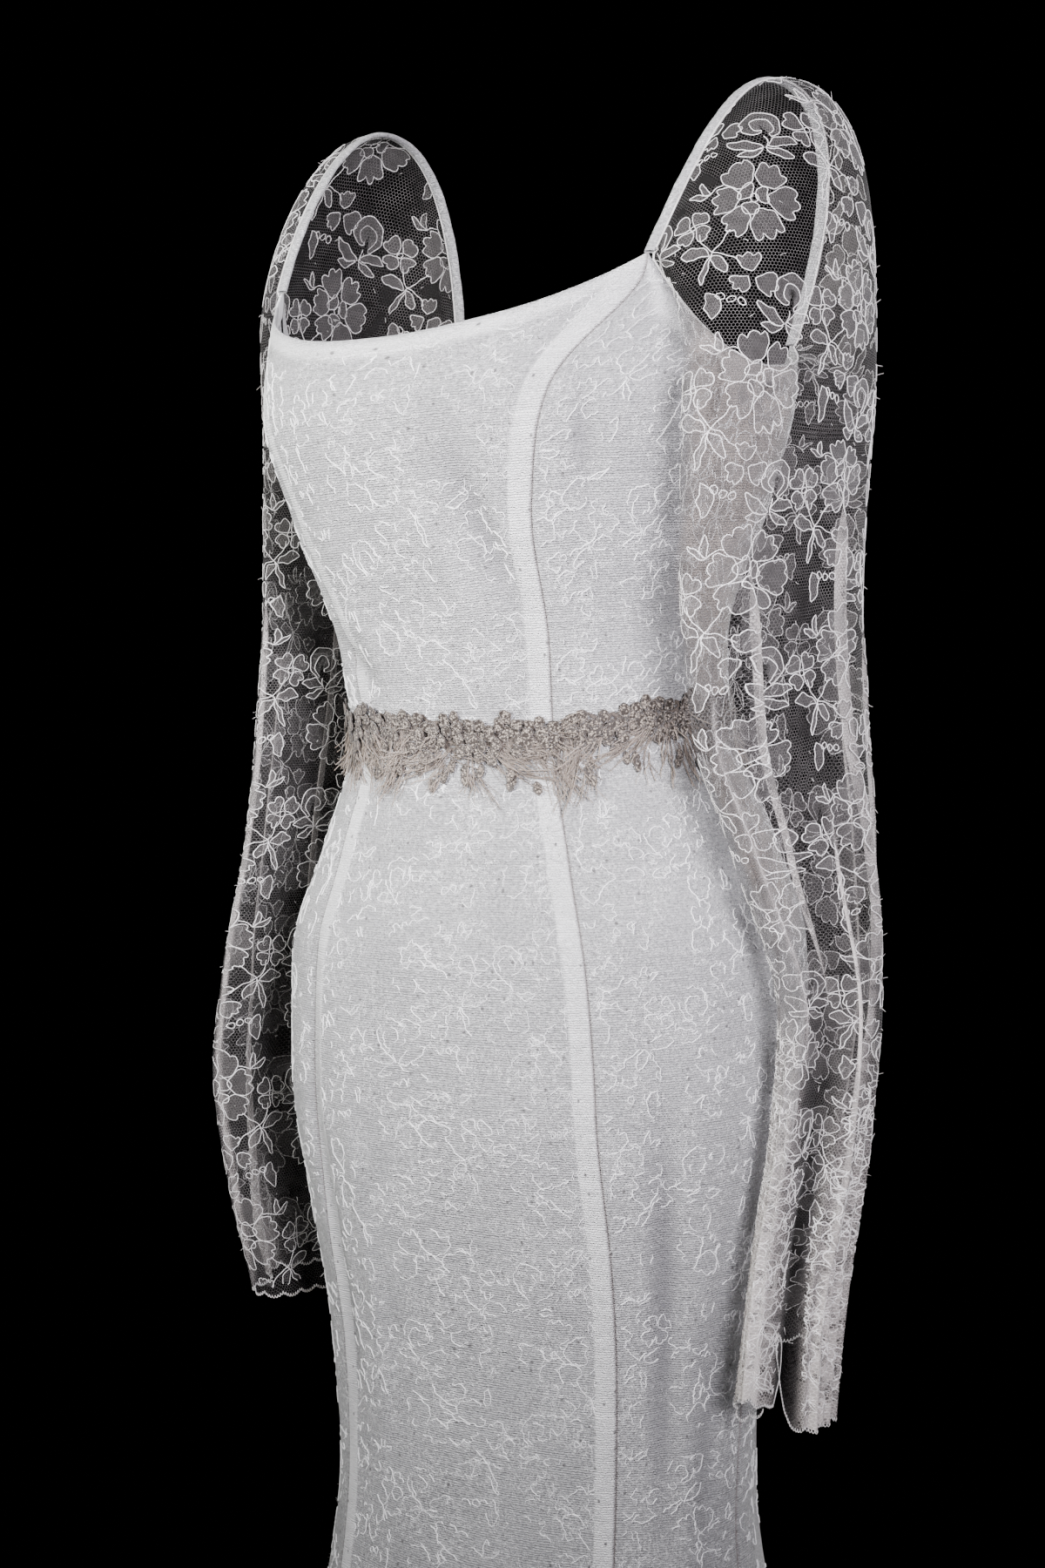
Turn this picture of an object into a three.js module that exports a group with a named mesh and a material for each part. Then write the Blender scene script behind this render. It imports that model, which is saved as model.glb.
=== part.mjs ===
// A long-sleeved wedding gown: a princess-line sheath that flares below the knee, held on the shoulders by two
// narrow straps, with sheer lace sleeves, a trim with a fringe round the waist and a zip down the centre back.
// Millimetres. +Z up, -Y to the wearer's front, +X to the wearer's left. The origin lies between the tops of the
// two straps, and "drop" is a distance below it.
import * as THREE from "three";

// Cloth and seams
const CREPE = 1.6; // crepe with its lace overlay, as one wall
const LACE = 1.0; // sheer sleeve lace
const SEAM_GAP = 0.3; // between pieces that are sewn together
const SQUARENESS = 2.3; // exponent of the body's sections: 2 is an ellipse

// The gown's outline: half width, depth before and behind the middle, how far the two front and the two back
// princess seams lie from the middle, and how far, in degrees, the hips turn to the left of the shoulders.
const SECTIONS = [
  { drop: 60, halfWidth: 160, front: 128, back: 98, frontSeam: 141, backSeam: 141, turn: 0 },
  { drop: 109, halfWidth: 161, front: 142, back: 105, frontSeam: 141, backSeam: 138, turn: 0 },
  { drop: 175, halfWidth: 161, front: 157, back: 111, frontSeam: 110, backSeam: 120, turn: 0 },
  { drop: 240, halfWidth: 146, front: 139, back: 100, frontSeam: 90, backSeam: 86, turn: 0 },
  { drop: 320, halfWidth: 121, front: 109, back: 74, frontSeam: 74, backSeam: 62, turn: 3 },
  { drop: 374, halfWidth: 119, front: 98, back: 88, frontSeam: 69, backSeam: 58, turn: 4 },
  { drop: 440, halfWidth: 139, front: 109, back: 125, frontSeam: 81, backSeam: 66, turn: 6 },
  { drop: 505, halfWidth: 159, front: 121, back: 142, frontSeam: 96, backSeam: 78, turn: 7 },
  { drop: 580, halfWidth: 162, front: 120, back: 120, frontSeam: 101, backSeam: 82, turn: 7 },
  { drop: 660, halfWidth: 152, front: 108, back: 102, frontSeam: 102, backSeam: 80, turn: 7 },
  { drop: 750, halfWidth: 141, front: 92, back: 98, frontSeam: 100, backSeam: 76, turn: 6 },
  { drop: 830, halfWidth: 138, front: 88, back: 100, frontSeam: 99, backSeam: 76, turn: 5 },
  { drop: 910, halfWidth: 147, front: 95, back: 116, frontSeam: 103, backSeam: 80, turn: 4 },
  { drop: 1080, halfWidth: 200, front: 158, back: 182, frontSeam: 128, backSeam: 104, turn: 2 },
  { drop: 1424, halfWidth: 340, front: 285, back: 350, frontSeam: 195, backSeam: 180, turn: 0 },
];
const HEM_DROP = 1424;
const MIDDLE_Y = -25; // the middle of the sections lies before the tops of the shoulders

// The left shoulder is held higher: a sideways slope, in degrees, that is gone above the knee
const LEAN = [
  { drop: 0, slope: 1.6 },
  { drop: 110, slope: 2.2 },
  { drop: 200, slope: 4.0 },
  { drop: 850, slope: 0 },
];

// Soft flutes of the flared skirt, from nothing above the knee to their full depth at the hem
const FLUTES = { count: 10, depth: 16, fromDrop: 880 };

// The top edge, as drops at the angles from the centre front
const NECK = {
  centreFront: 143,
  frontCorner: 103.5,
  underarm: 168,
  backCorner: 150,
  centreBack: 205,
};
const SIDE_ANGLE = 92; // side seam, in degrees from the centre front

// Rows of the panels: level ones to the underbust, then shares of the way up to the top edge
const LEVEL_ROWS = [
  1424, 1330, 1240, 1150, 1065, 985, 910, 835, 760, 690, 630, 580, 530, 485, 443, 407, 381, 352, 318, 280, 240,
];
const TOP_SHARES = [0.3, 0.55, 0.8, 1];
const COLUMNS = { front: 14, frontSide: 7, backSide: 6, back: 6 };

// Straps: a flat bound tube over the shoulder
const STRAP = { width: 7, thickness: 3, sides: 8, steps: 15, lift: 0.5, topOut: 150, topDrop: 1 };

// Waist trim and its fringe
const TRIM = { topDrop: 352, bottomDrop: 381, thickness: 2.2 };
const FRINGE = { bottomDrop: 407, thickness: 1.6 };

// Sleeves: level rings, each with its middle out from the centre and back from the shoulder, its half widths
// across and front to back, and the depth of its hanging folds. The left one hangs in folds, the right one flat.
const SLEEVE_POINTS = 24;
const SLEEVE_LEFT = {
  folds: 3,
  turn: 20,
  spread: 36, // of the sleeve head off the strap
  swell: 18, // of the sleeve head over the first ring
  rings: [
    { drop: 215, out: 186, back: -43, halfOut: 28, halfBack: 82, fold: 0 },
    { drop: 290, out: 181, back: -37, halfOut: 27, halfBack: 80, fold: 2 },
    { drop: 370, out: 178, back: -23, halfOut: 26, halfBack: 77, fold: 3 },
    { drop: 440, out: 186, back: -10, halfOut: 25, halfBack: 61, fold: 4 },
    { drop: 530, out: 200, back: -6, halfOut: 23, halfBack: 37, fold: 5 },
    { drop: 600, out: 196, back: -10, halfOut: 22, halfBack: 34, fold: 6 },
    { drop: 680, out: 188, back: -16, halfOut: 22, halfBack: 34, fold: 7 },
    { drop: 764, out: 184, back: -20, halfOut: 23, halfBack: 37, fold: 8 },
  ],
};
const SLEEVE_RIGHT = {
  folds: 3,
  turn: 70,
  spread: 34,
  swell: -10,
  rings: [
    { drop: 215, out: 184, back: -8, halfOut: 25, halfBack: 66, fold: 0 },
    { drop: 290, out: 184, back: -10, halfOut: 27, halfBack: 64, fold: 2 },
    { drop: 370, out: 187, back: -13, halfOut: 27, halfBack: 66, fold: 2 },
    { drop: 440, out: 195, back: -14, halfOut: 27, halfBack: 67, fold: 3 },
    { drop: 530, out: 208, back: -17, halfOut: 28, halfBack: 71, fold: 4 },
    { drop: 600, out: 214, back: -20, halfOut: 28, halfBack: 70, fold: 5 },
    { drop: 680, out: 208, back: -20, halfOut: 28, halfBack: 67, fold: 6 },
    { drop: 744, out: 202, back: -18, halfOut: 28, halfBack: 58, fold: 6 },
  ],
};
const CAP = { rows: 6, side: 8, clear: 7, fall: 0.6 }; // the rounded sleeve head, from the armhole to the first ring

// Zip at the centre back: a slider with a ridge, and a forked pull tab hinged on the ridge
const SLIDER = { drop: 213, width: 6, length: 9, thickness: 2.2, ridge: 2, axisOff: 2.1, axisUp: 1.3 };
const TAB = { width: 5, length: 20, thickness: 1, slot: 2.6, reach: 2.4, tip: 1.2 };

// Colours and finishes
const IVORY = { color: 0xe9e8e4, roughness: 0.75, metalness: 0 };
const SHEER = { color: 0xe6e1dc, roughness: 0.85, metalness: 0 };
const TAUPE = { color: 0xa9978b, roughness: 0.7, metalness: 0 };
const NICKEL = { color: 0xc9c7c4, roughness: 0.35, metalness: 1 };

const rad = THREE.MathUtils.degToRad;
const deg = THREE.MathUtils.radToDeg;
const lerp = THREE.MathUtils.lerp;
const xyz = (x, y, z) => new THREE.Vector3(x, y, z);

// One column of a table of rows at a drop, on a smooth curve through the rows that never overshoots them.
function along(rows, column, drop) {
  const last = rows.length - 1;
  if (drop <= rows[0].drop) return rows[0][column];
  if (drop >= rows[last].drop) return rows[last][column];
  const slope = (i) => (rows[i + 1][column] - rows[i][column]) / (rows[i + 1].drop - rows[i].drop);
  const tangent = (i) => {
    if (i === 0) return slope(0);
    if (i === last) return slope(last - 1);
    const before = slope(i - 1);
    const after = slope(i);
    return before * after <= 0 ? 0 : (2 * before * after) / (before + after);
  };
  const i = rows.findIndex((row, n) => n < last && drop <= rows[n + 1].drop);
  const span = rows[i + 1].drop - rows[i].drop;
  const t = (drop - rows[i].drop) / span;
  const a = rows[i][column];
  const b = rows[i + 1][column];
  const bend = (1 - t) * tangent(i) * span - t * tangent(i + 1) * span;
  return lerp(a, b, t) + t * (1 - t) * (bend - (b - a) * (1 - 2 * t));
}

// The gown's outer surface. The angle runs from the centre front, 90 to the wearer's left, 180 at the centre back.
function bodyPoint(angle, drop) {
  const s = Math.sin(rad(angle));
  const c = Math.cos(rad(angle));
  const depth = along(SECTIONS, c > 0 ? "front" : "back", drop);
  const power = 2 / SQUARENESS;
  const x = along(SECTIONS, "halfWidth", drop) * Math.sign(s) * Math.abs(s) ** power;
  const y = -depth * Math.sign(c) * Math.abs(c) ** power;
  const share = Math.max(0, (drop - FLUTES.fromDrop) / (HEM_DROP - FLUTES.fromDrop));
  const flute = FLUTES.depth * share * share * Math.cos(rad(angle) * FLUTES.count);
  const radius = Math.hypot(x, y);
  return xyz(x * (1 + flute / radius), MIDDLE_Y + y * (1 + flute / radius), -drop);
}

// A point off the gown's surface, by a distance along its outward normal.
function offBody(angle, drop, out) {
  const across = bodyPoint(angle + 0.4, drop).sub(bodyPoint(angle - 0.4, drop));
  const down = bodyPoint(angle, drop + 1).sub(bodyPoint(angle, drop - 1));
  const normal = down.cross(across).normalize();
  return bodyPoint(angle, drop).addScaledVector(normal, out);
}

// The angle at which the surface lies a given distance to the side of the middle.
function angleAt(column, drop) {
  const share = along(SECTIONS, column, drop) / along(SECTIONS, "halfWidth", drop);
  return deg(Math.asin(share ** (SQUARENESS / 2)));
}

// Seam lines, as angles at a drop
const SEAMS = {
  centreFront: () => 0,
  front: (drop) => angleAt("frontSeam", drop),
  side: () => SIDE_ANGLE,
  back: (drop) => 180 - angleAt("backSeam", drop),
  centreBack: () => 180,
};
const FRONT_CORNER = SEAMS.front(NECK.frontCorner);
const BACK_CORNER = SEAMS.back(NECK.backCorner);

// The drop of the top edge at an angle: a scooped neckline, the armhole, and a lower scoop behind.
function neckDrop(angle) {
  const a = Math.abs(angle);
  if (a <= FRONT_CORNER) return lerp(NECK.centreFront, NECK.frontCorner, (a / FRONT_CORNER) ** 2);
  if (a <= SIDE_ANGLE) {
    const t = (a - FRONT_CORNER) / (SIDE_ANGLE - FRONT_CORNER);
    return lerp(NECK.underarm, NECK.frontCorner, (1 - t) ** 1.7);
  }
  if (a <= BACK_CORNER) {
    const t = (a - SIDE_ANGLE) / (BACK_CORNER - SIDE_ANGLE);
    return lerp(NECK.underarm, NECK.backCorner, t ** 2);
  }
  const t = (180 - a) / (180 - BACK_CORNER);
  return lerp(NECK.centreBack, NECK.backCorner, t ** 2);
}

// A closed wall between two grids of points, rows of equal length. A ring's rows join up with themselves.
function wall(outer, inner, ring) {
  const rows = outer.length;
  const columns = outer[0].length;
  const spans = ring ? columns : columns - 1;
  const corner = [];
  const face = (a, b, c, d) => corner.push(a, b, c, a, c, d);
  const next = (j) => (j + 1) % columns;
  for (let i = 0; i < rows - 1; i++) {
    for (let j = 0; j < spans; j++) {
      const k = next(j);
      face(outer[i][j], outer[i][k], outer[i + 1][k], outer[i + 1][j]);
      face(inner[i][k], inner[i][j], inner[i + 1][j], inner[i + 1][k]);
    }
  }
  for (let j = 0; j < spans; j++) {
    const k = next(j);
    face(inner[0][j], inner[0][k], outer[0][k], outer[0][j]);
    face(outer[rows - 1][j], outer[rows - 1][k], inner[rows - 1][k], inner[rows - 1][j]);
  }
  for (let i = 0; i < rows - 1 && !ring; i++) {
    const e = columns - 1;
    face(outer[i][0], outer[i + 1][0], inner[i + 1][0], inner[i][0]);
    face(inner[i][e], inner[i + 1][e], outer[i + 1][e], outer[i][e]);
  }
  return new THREE.BufferGeometry().setFromPoints(corner);
}

// The same geometry on the wearer's other side.
function mirrored(geometry) {
  const copy = geometry.clone();
  const at = copy.getAttribute("position");
  for (let i = 0; i < at.count; i += 3) {
    const corners = [0, 2, 1].map((n) => xyz().fromBufferAttribute(geometry.getAttribute("position"), i + n));
    corners.forEach((p, n) => at.setXYZ(i + n, -p.x, p.y, p.z));
  }
  return copy;
}

// The pose it is worn in: the hips turned on the shoulders (a sleeve hangs straight), and the left side higher.
function posed(geometry, turned) {
  const at = geometry.getAttribute("position");
  for (let i = 0; i < at.count; i++) {
    const p = xyz().fromBufferAttribute(at, i);
    const drop = -p.z;
    if (turned) {
      p.y -= MIDDLE_Y;
      p.applyAxisAngle(xyz(0, 0, 1), rad(along(SECTIONS, "turn", drop)));
      p.y += MIDDLE_Y;
    }
    at.setXYZ(i, p.x, p.y, p.z + p.x * Math.tan(rad(along(LEAN, "slope", drop))));
  }
  return geometry;
}

function piece(name, geometry, finish) {
  geometry.computeVertexNormals();
  const mesh = new THREE.Mesh(geometry, new THREE.MeshStandardMaterial(finish));
  mesh.name = name;
  return mesh;
}

// A piece of the gown's body on the wearer's left, and its like on the right.
function pair(name, geometry, finish) {
  const other = mirrored(geometry);
  return [
    piece(name + "_left", posed(geometry, true), finish),
    piece(name + "_right", posed(other, true), finish),
  ];
}

// The angle of a seam's edge, half a seam gap from the seam along the surface.
function seamEdge(angle, drop, way) {
  let step = 0.05;
  for (let i = 0; i < 8; i++) {
    step *= SEAM_GAP / 2 / bodyPoint(angle + way * step, drop).distanceTo(bodyPoint(angle, drop));
  }
  return angle + way * step;
}

// The angles of one panel's columns at a drop, between the edges of its two seams.
function panelAngles(from, to, columns, drop) {
  const ends = [seamEdge(from(drop), drop, 1), seamEdge(to(drop), drop, -1)];
  return Array.from({ length: columns + 1 }, (_, j) => lerp(ends[0], ends[1], j / columns));
}

// One cut panel of the gown, from its top edge to the hem.
function panel(from, to, columns, corners) {
  const topOf = (j) => neckDrop(lerp(corners[0], corners[1], j / columns));
  const lowest = LEVEL_ROWS[LEVEL_ROWS.length - 1];
  const dropsOf = (j) => [...LEVEL_ROWS, ...TOP_SHARES.map((share) => lerp(lowest, topOf(j), share))];
  const grid = (out) => {
    const count = LEVEL_ROWS.length + TOP_SHARES.length;
    return Array.from({ length: count }, (_, i) =>
      Array.from({ length: columns + 1 }, (_, j) => {
        const drop = dropsOf(j)[i];
        return offBody(panelAngles(from, to, columns, drop)[j], drop, out);
      }),
    );
  };
  return wall(grid(0), grid(-CREPE), false);
}

function panels() {
  const mirrorFront = (drop) => -SEAMS.front(drop);
  const whole = panel(mirrorFront, SEAMS.front, COLUMNS.front, [-FRONT_CORNER, FRONT_CORNER]);
  const front = piece("front_panel", posed(whole, true), IVORY);
  const sides = [
    ["front_side_panel", SEAMS.front, SEAMS.side, COLUMNS.frontSide, [FRONT_CORNER, SIDE_ANGLE]],
    ["back_side_panel", SEAMS.side, SEAMS.back, COLUMNS.backSide, [SIDE_ANGLE, BACK_CORNER]],
    ["back_panel", SEAMS.back, SEAMS.centreBack, COLUMNS.back, [BACK_CORNER, 180]],
  ].flatMap(([name, from, to, columns, corners]) => {
    const geometry = panel(from, to, columns, corners);
    return pair(name, geometry, IVORY);
  });
  return [front, ...sides];
}

// The strap's middle line, from the front corner over the shoulder to the back corner.
function strapPath() {
  const front = bodyPoint(FRONT_CORNER, NECK.frontCorner);
  const back = bodyPoint(BACK_CORNER, NECK.backCorner);
  const level = -STRAP.topDrop;
  front.z += STRAP.lift;
  back.z += STRAP.lift;
  front.y += CREPE / 2;
  back.y -= CREPE / 2;
  const top = xyz(STRAP.topOut, 0, level);
  const rise = [xyz(front.x + 8, front.y + 28, -48), xyz(top.x - 1, -38, level + 1.5)];
  const fall = [xyz(top.x + 3, 52, level - 1.5), xyz(back.x + 20, back.y + 20, -62)];
  const path = new THREE.CurvePath();
  path.add(new THREE.CubicBezierCurve3(front, ...rise, top));
  path.add(new THREE.CubicBezierCurve3(top, ...fall, back));
  return path;
}

// Points round the strap at each step: wide to the side, thin off the shoulder.
function strapRings(path) {
  return Array.from({ length: STRAP.steps + 1 }, (_, i) => {
    const at = path.getPointAt(i / STRAP.steps);
    const off = path.getTangentAt(i / STRAP.steps).cross(xyz(1, 0, 0)).normalize();
    return Array.from({ length: STRAP.sides }, (_, k) => {
      const turn = (2 * Math.PI * k) / STRAP.sides;
      const side = (STRAP.width / 2) * Math.cos(turn);
      return at.clone().add(xyz(side, 0, 0)).addScaledVector(off, (STRAP.thickness / 2) * Math.sin(turn));
    });
  });
}

// A solid through rings of points, closed by a fan at each end.
function through(rings) {
  const corner = [];
  const count = rings[0].length;
  const middle = (ring) => ring.reduce((sum, p) => sum.add(p), xyz(0, 0, 0)).divideScalar(count);
  rings.slice(1).forEach((ring, i) => {
    for (let k = 0; k < count; k++) {
      const n = (k + 1) % count;
      corner.push(rings[i][k], rings[i][n], ring[n], rings[i][k], ring[n], ring[k]);
    }
  });
  const [first, last] = [rings[0], rings[rings.length - 1]];
  for (let k = 0; k < count; k++) {
    const n = (k + 1) % count;
    corner.push(middle(first), first[n], first[k], middle(last), last[k], last[n]);
  }
  return new THREE.BufferGeometry().setFromPoints(corner);
}

function straps() {
  const geometry = through(strapRings(strapPath()));
  return pair("strap", geometry, IVORY);
}

// All the columns of the panels round the body at a drop, from one side of the zip to the other.
function columnsRound(drop) {
  const half = [
    ...panelAngles(SEAMS.centreFront, SEAMS.front, COLUMNS.front / 2, drop).slice(1),
    ...panelAngles(SEAMS.front, SEAMS.side, COLUMNS.frontSide, drop).slice(1),
    ...panelAngles(SEAMS.side, SEAMS.back, COLUMNS.backSide, drop).slice(1),
    ...panelAngles(SEAMS.back, SEAMS.centreBack, COLUMNS.back, drop).slice(1),
  ];
  return [...half.map((a) => -a).reverse(), 0, ...half];
}

// A band that lies on the panels between two drops, made from their points and moved out.
function band(bottomDrop, topDrop, thickness) {
  const grid = (out) =>
    [bottomDrop, topDrop].map((drop) => columnsRound(drop).map((angle) => offBody(angle, drop, out)));
  return wall(grid(SEAM_GAP + thickness), grid(SEAM_GAP), false);
}

function trims() {
  return [
    piece("waist_trim", posed(band(TRIM.bottomDrop, TRIM.topDrop, TRIM.thickness), true), TAUPE),
    piece("waist_fringe", posed(band(FRINGE.bottomDrop, TRIM.bottomDrop + SEAM_GAP, FRINGE.thickness), true), TAUPE),
  ];
}

// The seam that a left sleeve is set into, by a share of the way round: down the front strap, along the armhole
// and up the back strap.
function armhole(share) {
  const path = strapPath();
  const turns = [0.2, 0.5, 0.8]; // shares at the front corner, the underarm and the back corner
  const out = STRAP.width / 2 + 2 * SEAM_GAP;
  if (share <= turns[0]) return path.getPoint(lerp(0.5, 0, share / turns[0])).add(xyz(out, 0, 0));
  if (share >= turns[2]) return path.getPoint(lerp(1, 0.5, (share - turns[2]) / (1 - turns[2]))).add(xyz(out, 0, 0));
  const front = share < turns[1];
  const t = front ? (share - turns[0]) / (turns[1] - turns[0]) : (share - turns[1]) / (turns[2] - turns[1]);
  const angle = front ? lerp(FRONT_CORNER, SIDE_ANGLE, t) : lerp(SIDE_ANGLE, BACK_CORNER, t);
  const edge = offBody(angle, neckDrop(angle), 2 * SEAM_GAP);
  const shift = out * (1 - Math.min(1, 4 * Math.min(t, 1 - t)));
  return edge.add(xyz(front ? shift * (t < 0.5) : shift * (t > 0.5), 0, 2 * SEAM_GAP));
}

// One level ring of a sleeve: 0 degrees is outwards, 90 to the front, 180 towards the body.
function sleeveRing(shape, drop, turn) {
  const read = (column) => along(shape.rings, column, drop);
  const fold = read("fold") * Math.cos(rad(shape.folds * turn + shape.turn));
  const inward = Math.max(0, -Math.cos(rad(turn)));
  const grow = fold * (1 - 0.7 * inward);
  return xyz(
    read("out") + (read("halfOut") + grow) * Math.cos(rad(turn)),
    read("back") - (read("halfBack") + grow) * Math.sin(rad(turn)),
    -drop,
  );
}

// A sleeve's outer points, row by row from the hem up to the armhole.
function sleeveGrid(shape) {
  const first = shape.rings[0].drop;
  const turns = Array.from({ length: SLEEVE_POINTS }, (_, k) => (360 * k) / SLEEVE_POINTS);
  const levels = shape.rings.map((ring) => ring.drop).reverse();
  const tube = levels.map((drop) => turns.map((turn) => sleeveRing(shape, drop, turn)));
  const head = Array.from({ length: CAP.rows }, (_, i) => {
    const t = (i + 1) / CAP.rows;
    return turns.map((turn) => {
      const start = sleeveRing(shape, first, turn);
      const end = armhole(turn / 360);
      const rise = (end.z - start.z) * CAP.fall;
      const outward = Math.max(0, Math.cos(rad(turn)));
      const sideways = Math.sin(rad(turn));
      const low = start.clone().add(xyz(shape.swell * outward, 0, rise));
      const high = end.clone().add(xyz(shape.spread * outward + CAP.clear, -CAP.side * sideways, 4));
      return new THREE.CubicBezierCurve3(start, low, high, end).getPoint(t);
    });
  });
  return [...tube, ...head];
}

// The sleeve's inner points, one lace thickness in from the outer ones.
function inside(rows) {
  const columns = rows[0].length;
  return rows.map((row, i) =>
    row.map((point, k) => {
      const across = row[(k + 1) % columns].clone().sub(row[(k + columns - 1) % columns]);
      const up = rows[Math.min(i + 1, rows.length - 1)][k].clone().sub(rows[Math.max(i - 1, 0)][k]);
      return point.clone().addScaledVector(across.cross(up).normalize(), LACE);
    }),
  );
}

function sleeves() {
  return [
    ["sleeve_left", SLEEVE_LEFT, (geometry) => geometry],
    ["sleeve_right", SLEEVE_RIGHT, mirrored],
  ].map(([name, shape, side]) => {
    const rows = sleeveGrid(shape);
    return piece(name, posed(side(wall(inside(rows), rows, true)), false), SHEER);
  });
}

// A solid from a flat outline of [x, y] corners, raised by a thickness.
function raised(outline, thickness) {
  const shape = new THREE.Shape(outline.map(([x, y]) => new THREE.Vector2(x, y)));
  return new THREE.ExtrudeGeometry(shape, { depth: thickness, bevelEnabled: false });
}

// The zip's slider lies on the two back panels at the top of the opening, and its tab hangs straight down.
function zip() {
  const half = SLIDER.width / 2;
  const ridge = SLIDER.ridge / 2;
  const top = SLIDER.thickness + SLIDER.axisOff + 1;
  const profile = [
    [-half, 0],
    [half, 0],
    [half, SLIDER.thickness],
    [ridge, SLIDER.thickness],
    [ridge, top],
    [-ridge, top],
    [-ridge, SLIDER.thickness],
    [-half, SLIDER.thickness],
  ];
  const on = offBody(180, SLIDER.drop, SEAM_GAP);
  const slope = Math.atan2(bodyPoint(180, SLIDER.drop - 5).y - bodyPoint(180, SLIDER.drop + 5).y, 10);
  const slider = raised(profile, SLIDER.length).translate(0, 0, -SLIDER.length / 2).rotateX(-slope);
  slider.translate(on.x, on.y, on.z);

  const side = TAB.width / 2;
  const slot = TAB.slot / 2;
  const outline = [
    [slot, TAB.tip],
    [slot, -TAB.reach],
    [-slot, -TAB.reach],
    [-slot, TAB.tip],
    [-side, TAB.tip],
    [-side, -TAB.length + side],
    [-side / 2, -TAB.length],
    [side / 2, -TAB.length],
    [side, -TAB.length + side],
    [side, TAB.tip],
  ];
  const axis = xyz(0, SLIDER.thickness + SLIDER.axisOff, SLIDER.axisUp - SLIDER.length / 2);
  axis.applyAxisAngle(xyz(1, 0, 0), -slope).add(on);
  const tab = raised(outline, TAB.thickness).translate(0, 0, -TAB.thickness / 2).rotateX(Math.PI / 2);
  tab.translate(axis.x, axis.y, axis.z);
  return [piece("zip_slider", slider, NICKEL), piece("zip_tab", tab, NICKEL)];
}

export default new THREE.Group().add(...panels(), ...straps(), ...trims(), ...sleeves(), ...zip());
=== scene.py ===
import math

import bpy
import numpy as np
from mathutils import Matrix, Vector
from mathutils.bvhtree import BVHTree


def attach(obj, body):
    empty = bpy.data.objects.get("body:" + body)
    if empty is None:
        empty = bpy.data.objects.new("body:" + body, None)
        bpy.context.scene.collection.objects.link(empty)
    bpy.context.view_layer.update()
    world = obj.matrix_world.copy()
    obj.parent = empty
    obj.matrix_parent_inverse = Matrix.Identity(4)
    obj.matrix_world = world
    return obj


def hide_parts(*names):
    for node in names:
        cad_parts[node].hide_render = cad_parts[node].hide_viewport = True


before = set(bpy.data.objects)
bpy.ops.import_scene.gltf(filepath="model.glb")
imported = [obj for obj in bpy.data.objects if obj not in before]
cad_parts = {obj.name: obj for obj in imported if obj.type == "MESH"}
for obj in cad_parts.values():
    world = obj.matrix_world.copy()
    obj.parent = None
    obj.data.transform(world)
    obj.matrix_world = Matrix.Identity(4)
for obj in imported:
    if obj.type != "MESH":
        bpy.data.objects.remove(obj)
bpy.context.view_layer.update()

# A long-sleeved wedding gown. Sizes are in millimetres, made into metres where a mesh is built. +Z is up,
# -Y the wearer's front and +X the wearer's left. "drop" is a distance below the tops of the straps, and
# "angle" runs round the body from the centre front, 90 at the wearer's left and 180 at the centre back.
MM = 0.001
GOWN = "gown"
random = np.random.default_rng(8)


class Table:
    """Rows of sizes with named columns, read at any drop on a smooth curve that never overshoots its rows."""

    def __init__(self, names, rows):
        self.values = dict(zip(names.split(), np.array(rows, float).T))

    def at(self, name, drop):
        x, y = self.values["drop"], self.values[name]
        slope = np.diff(y) / np.diff(x)
        both = slope[:-1] * slope[1:]
        total = np.where(both > 0, slope[:-1] + slope[1:], 1)
        inner = np.where(both > 0, 2 * both / total, 0)
        tangent = np.concatenate([slope[:1], inner, slope[-1:]])
        drop = np.clip(drop, x[0], x[-1])
        i = np.clip(np.searchsorted(x, drop) - 1, 0, len(x) - 2)
        span = x[i + 1] - x[i]
        t = (drop - x[i]) / span
        rise = y[i + 1] - y[i]
        bend = (1 - t) * tangent[i] * span - t * tangent[i + 1] * span
        return y[i] + rise * t + t * (1 - t) * (bend - rise * (1 - 2 * t))


# The gown's outline, as in the solids
SECTIONS = Table(
    "drop half_width front back front_seam back_seam turn",
    [
        (60, 160, 128, 98, 141, 141, 0),
        (109, 161, 142, 105, 141, 138, 0),
        (175, 161, 157, 111, 110, 120, 0),
        (240, 146, 139, 100, 90, 86, 0),
        (320, 121, 109, 74, 74, 62, 3),
        (374, 119, 98, 88, 69, 58, 4),
        (440, 139, 109, 125, 81, 66, 6),
        (505, 159, 121, 142, 96, 78, 7),
        (580, 162, 120, 120, 101, 82, 7),
        (660, 152, 108, 102, 102, 80, 7),
        (750, 141, 92, 98, 100, 76, 6),
        (830, 138, 88, 100, 99, 76, 5),
        (910, 147, 95, 116, 103, 80, 4),
        (1080, 200, 158, 182, 128, 104, 2),
        (1424, 340, 285, 350, 195, 180, 0),
    ],
)
LEAN = Table("drop slope", [(0, 1.6), (110, 2.2), (200, 4.0), (850, 0)])
HEM_DROP = 1424
MIDDLE_Y = -25
SQUARENESS = 2.3
FLUTES = {"count": 10, "depth": 16, "from": 880}
NECK = {"centre_front": 143, "front_corner": 103.5, "underarm": 168, "back_corner": 150, "centre_back": 205}
SIDE_ANGLE = 92
SEAM_GAP = 0.3
CREPE = 1.6

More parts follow.
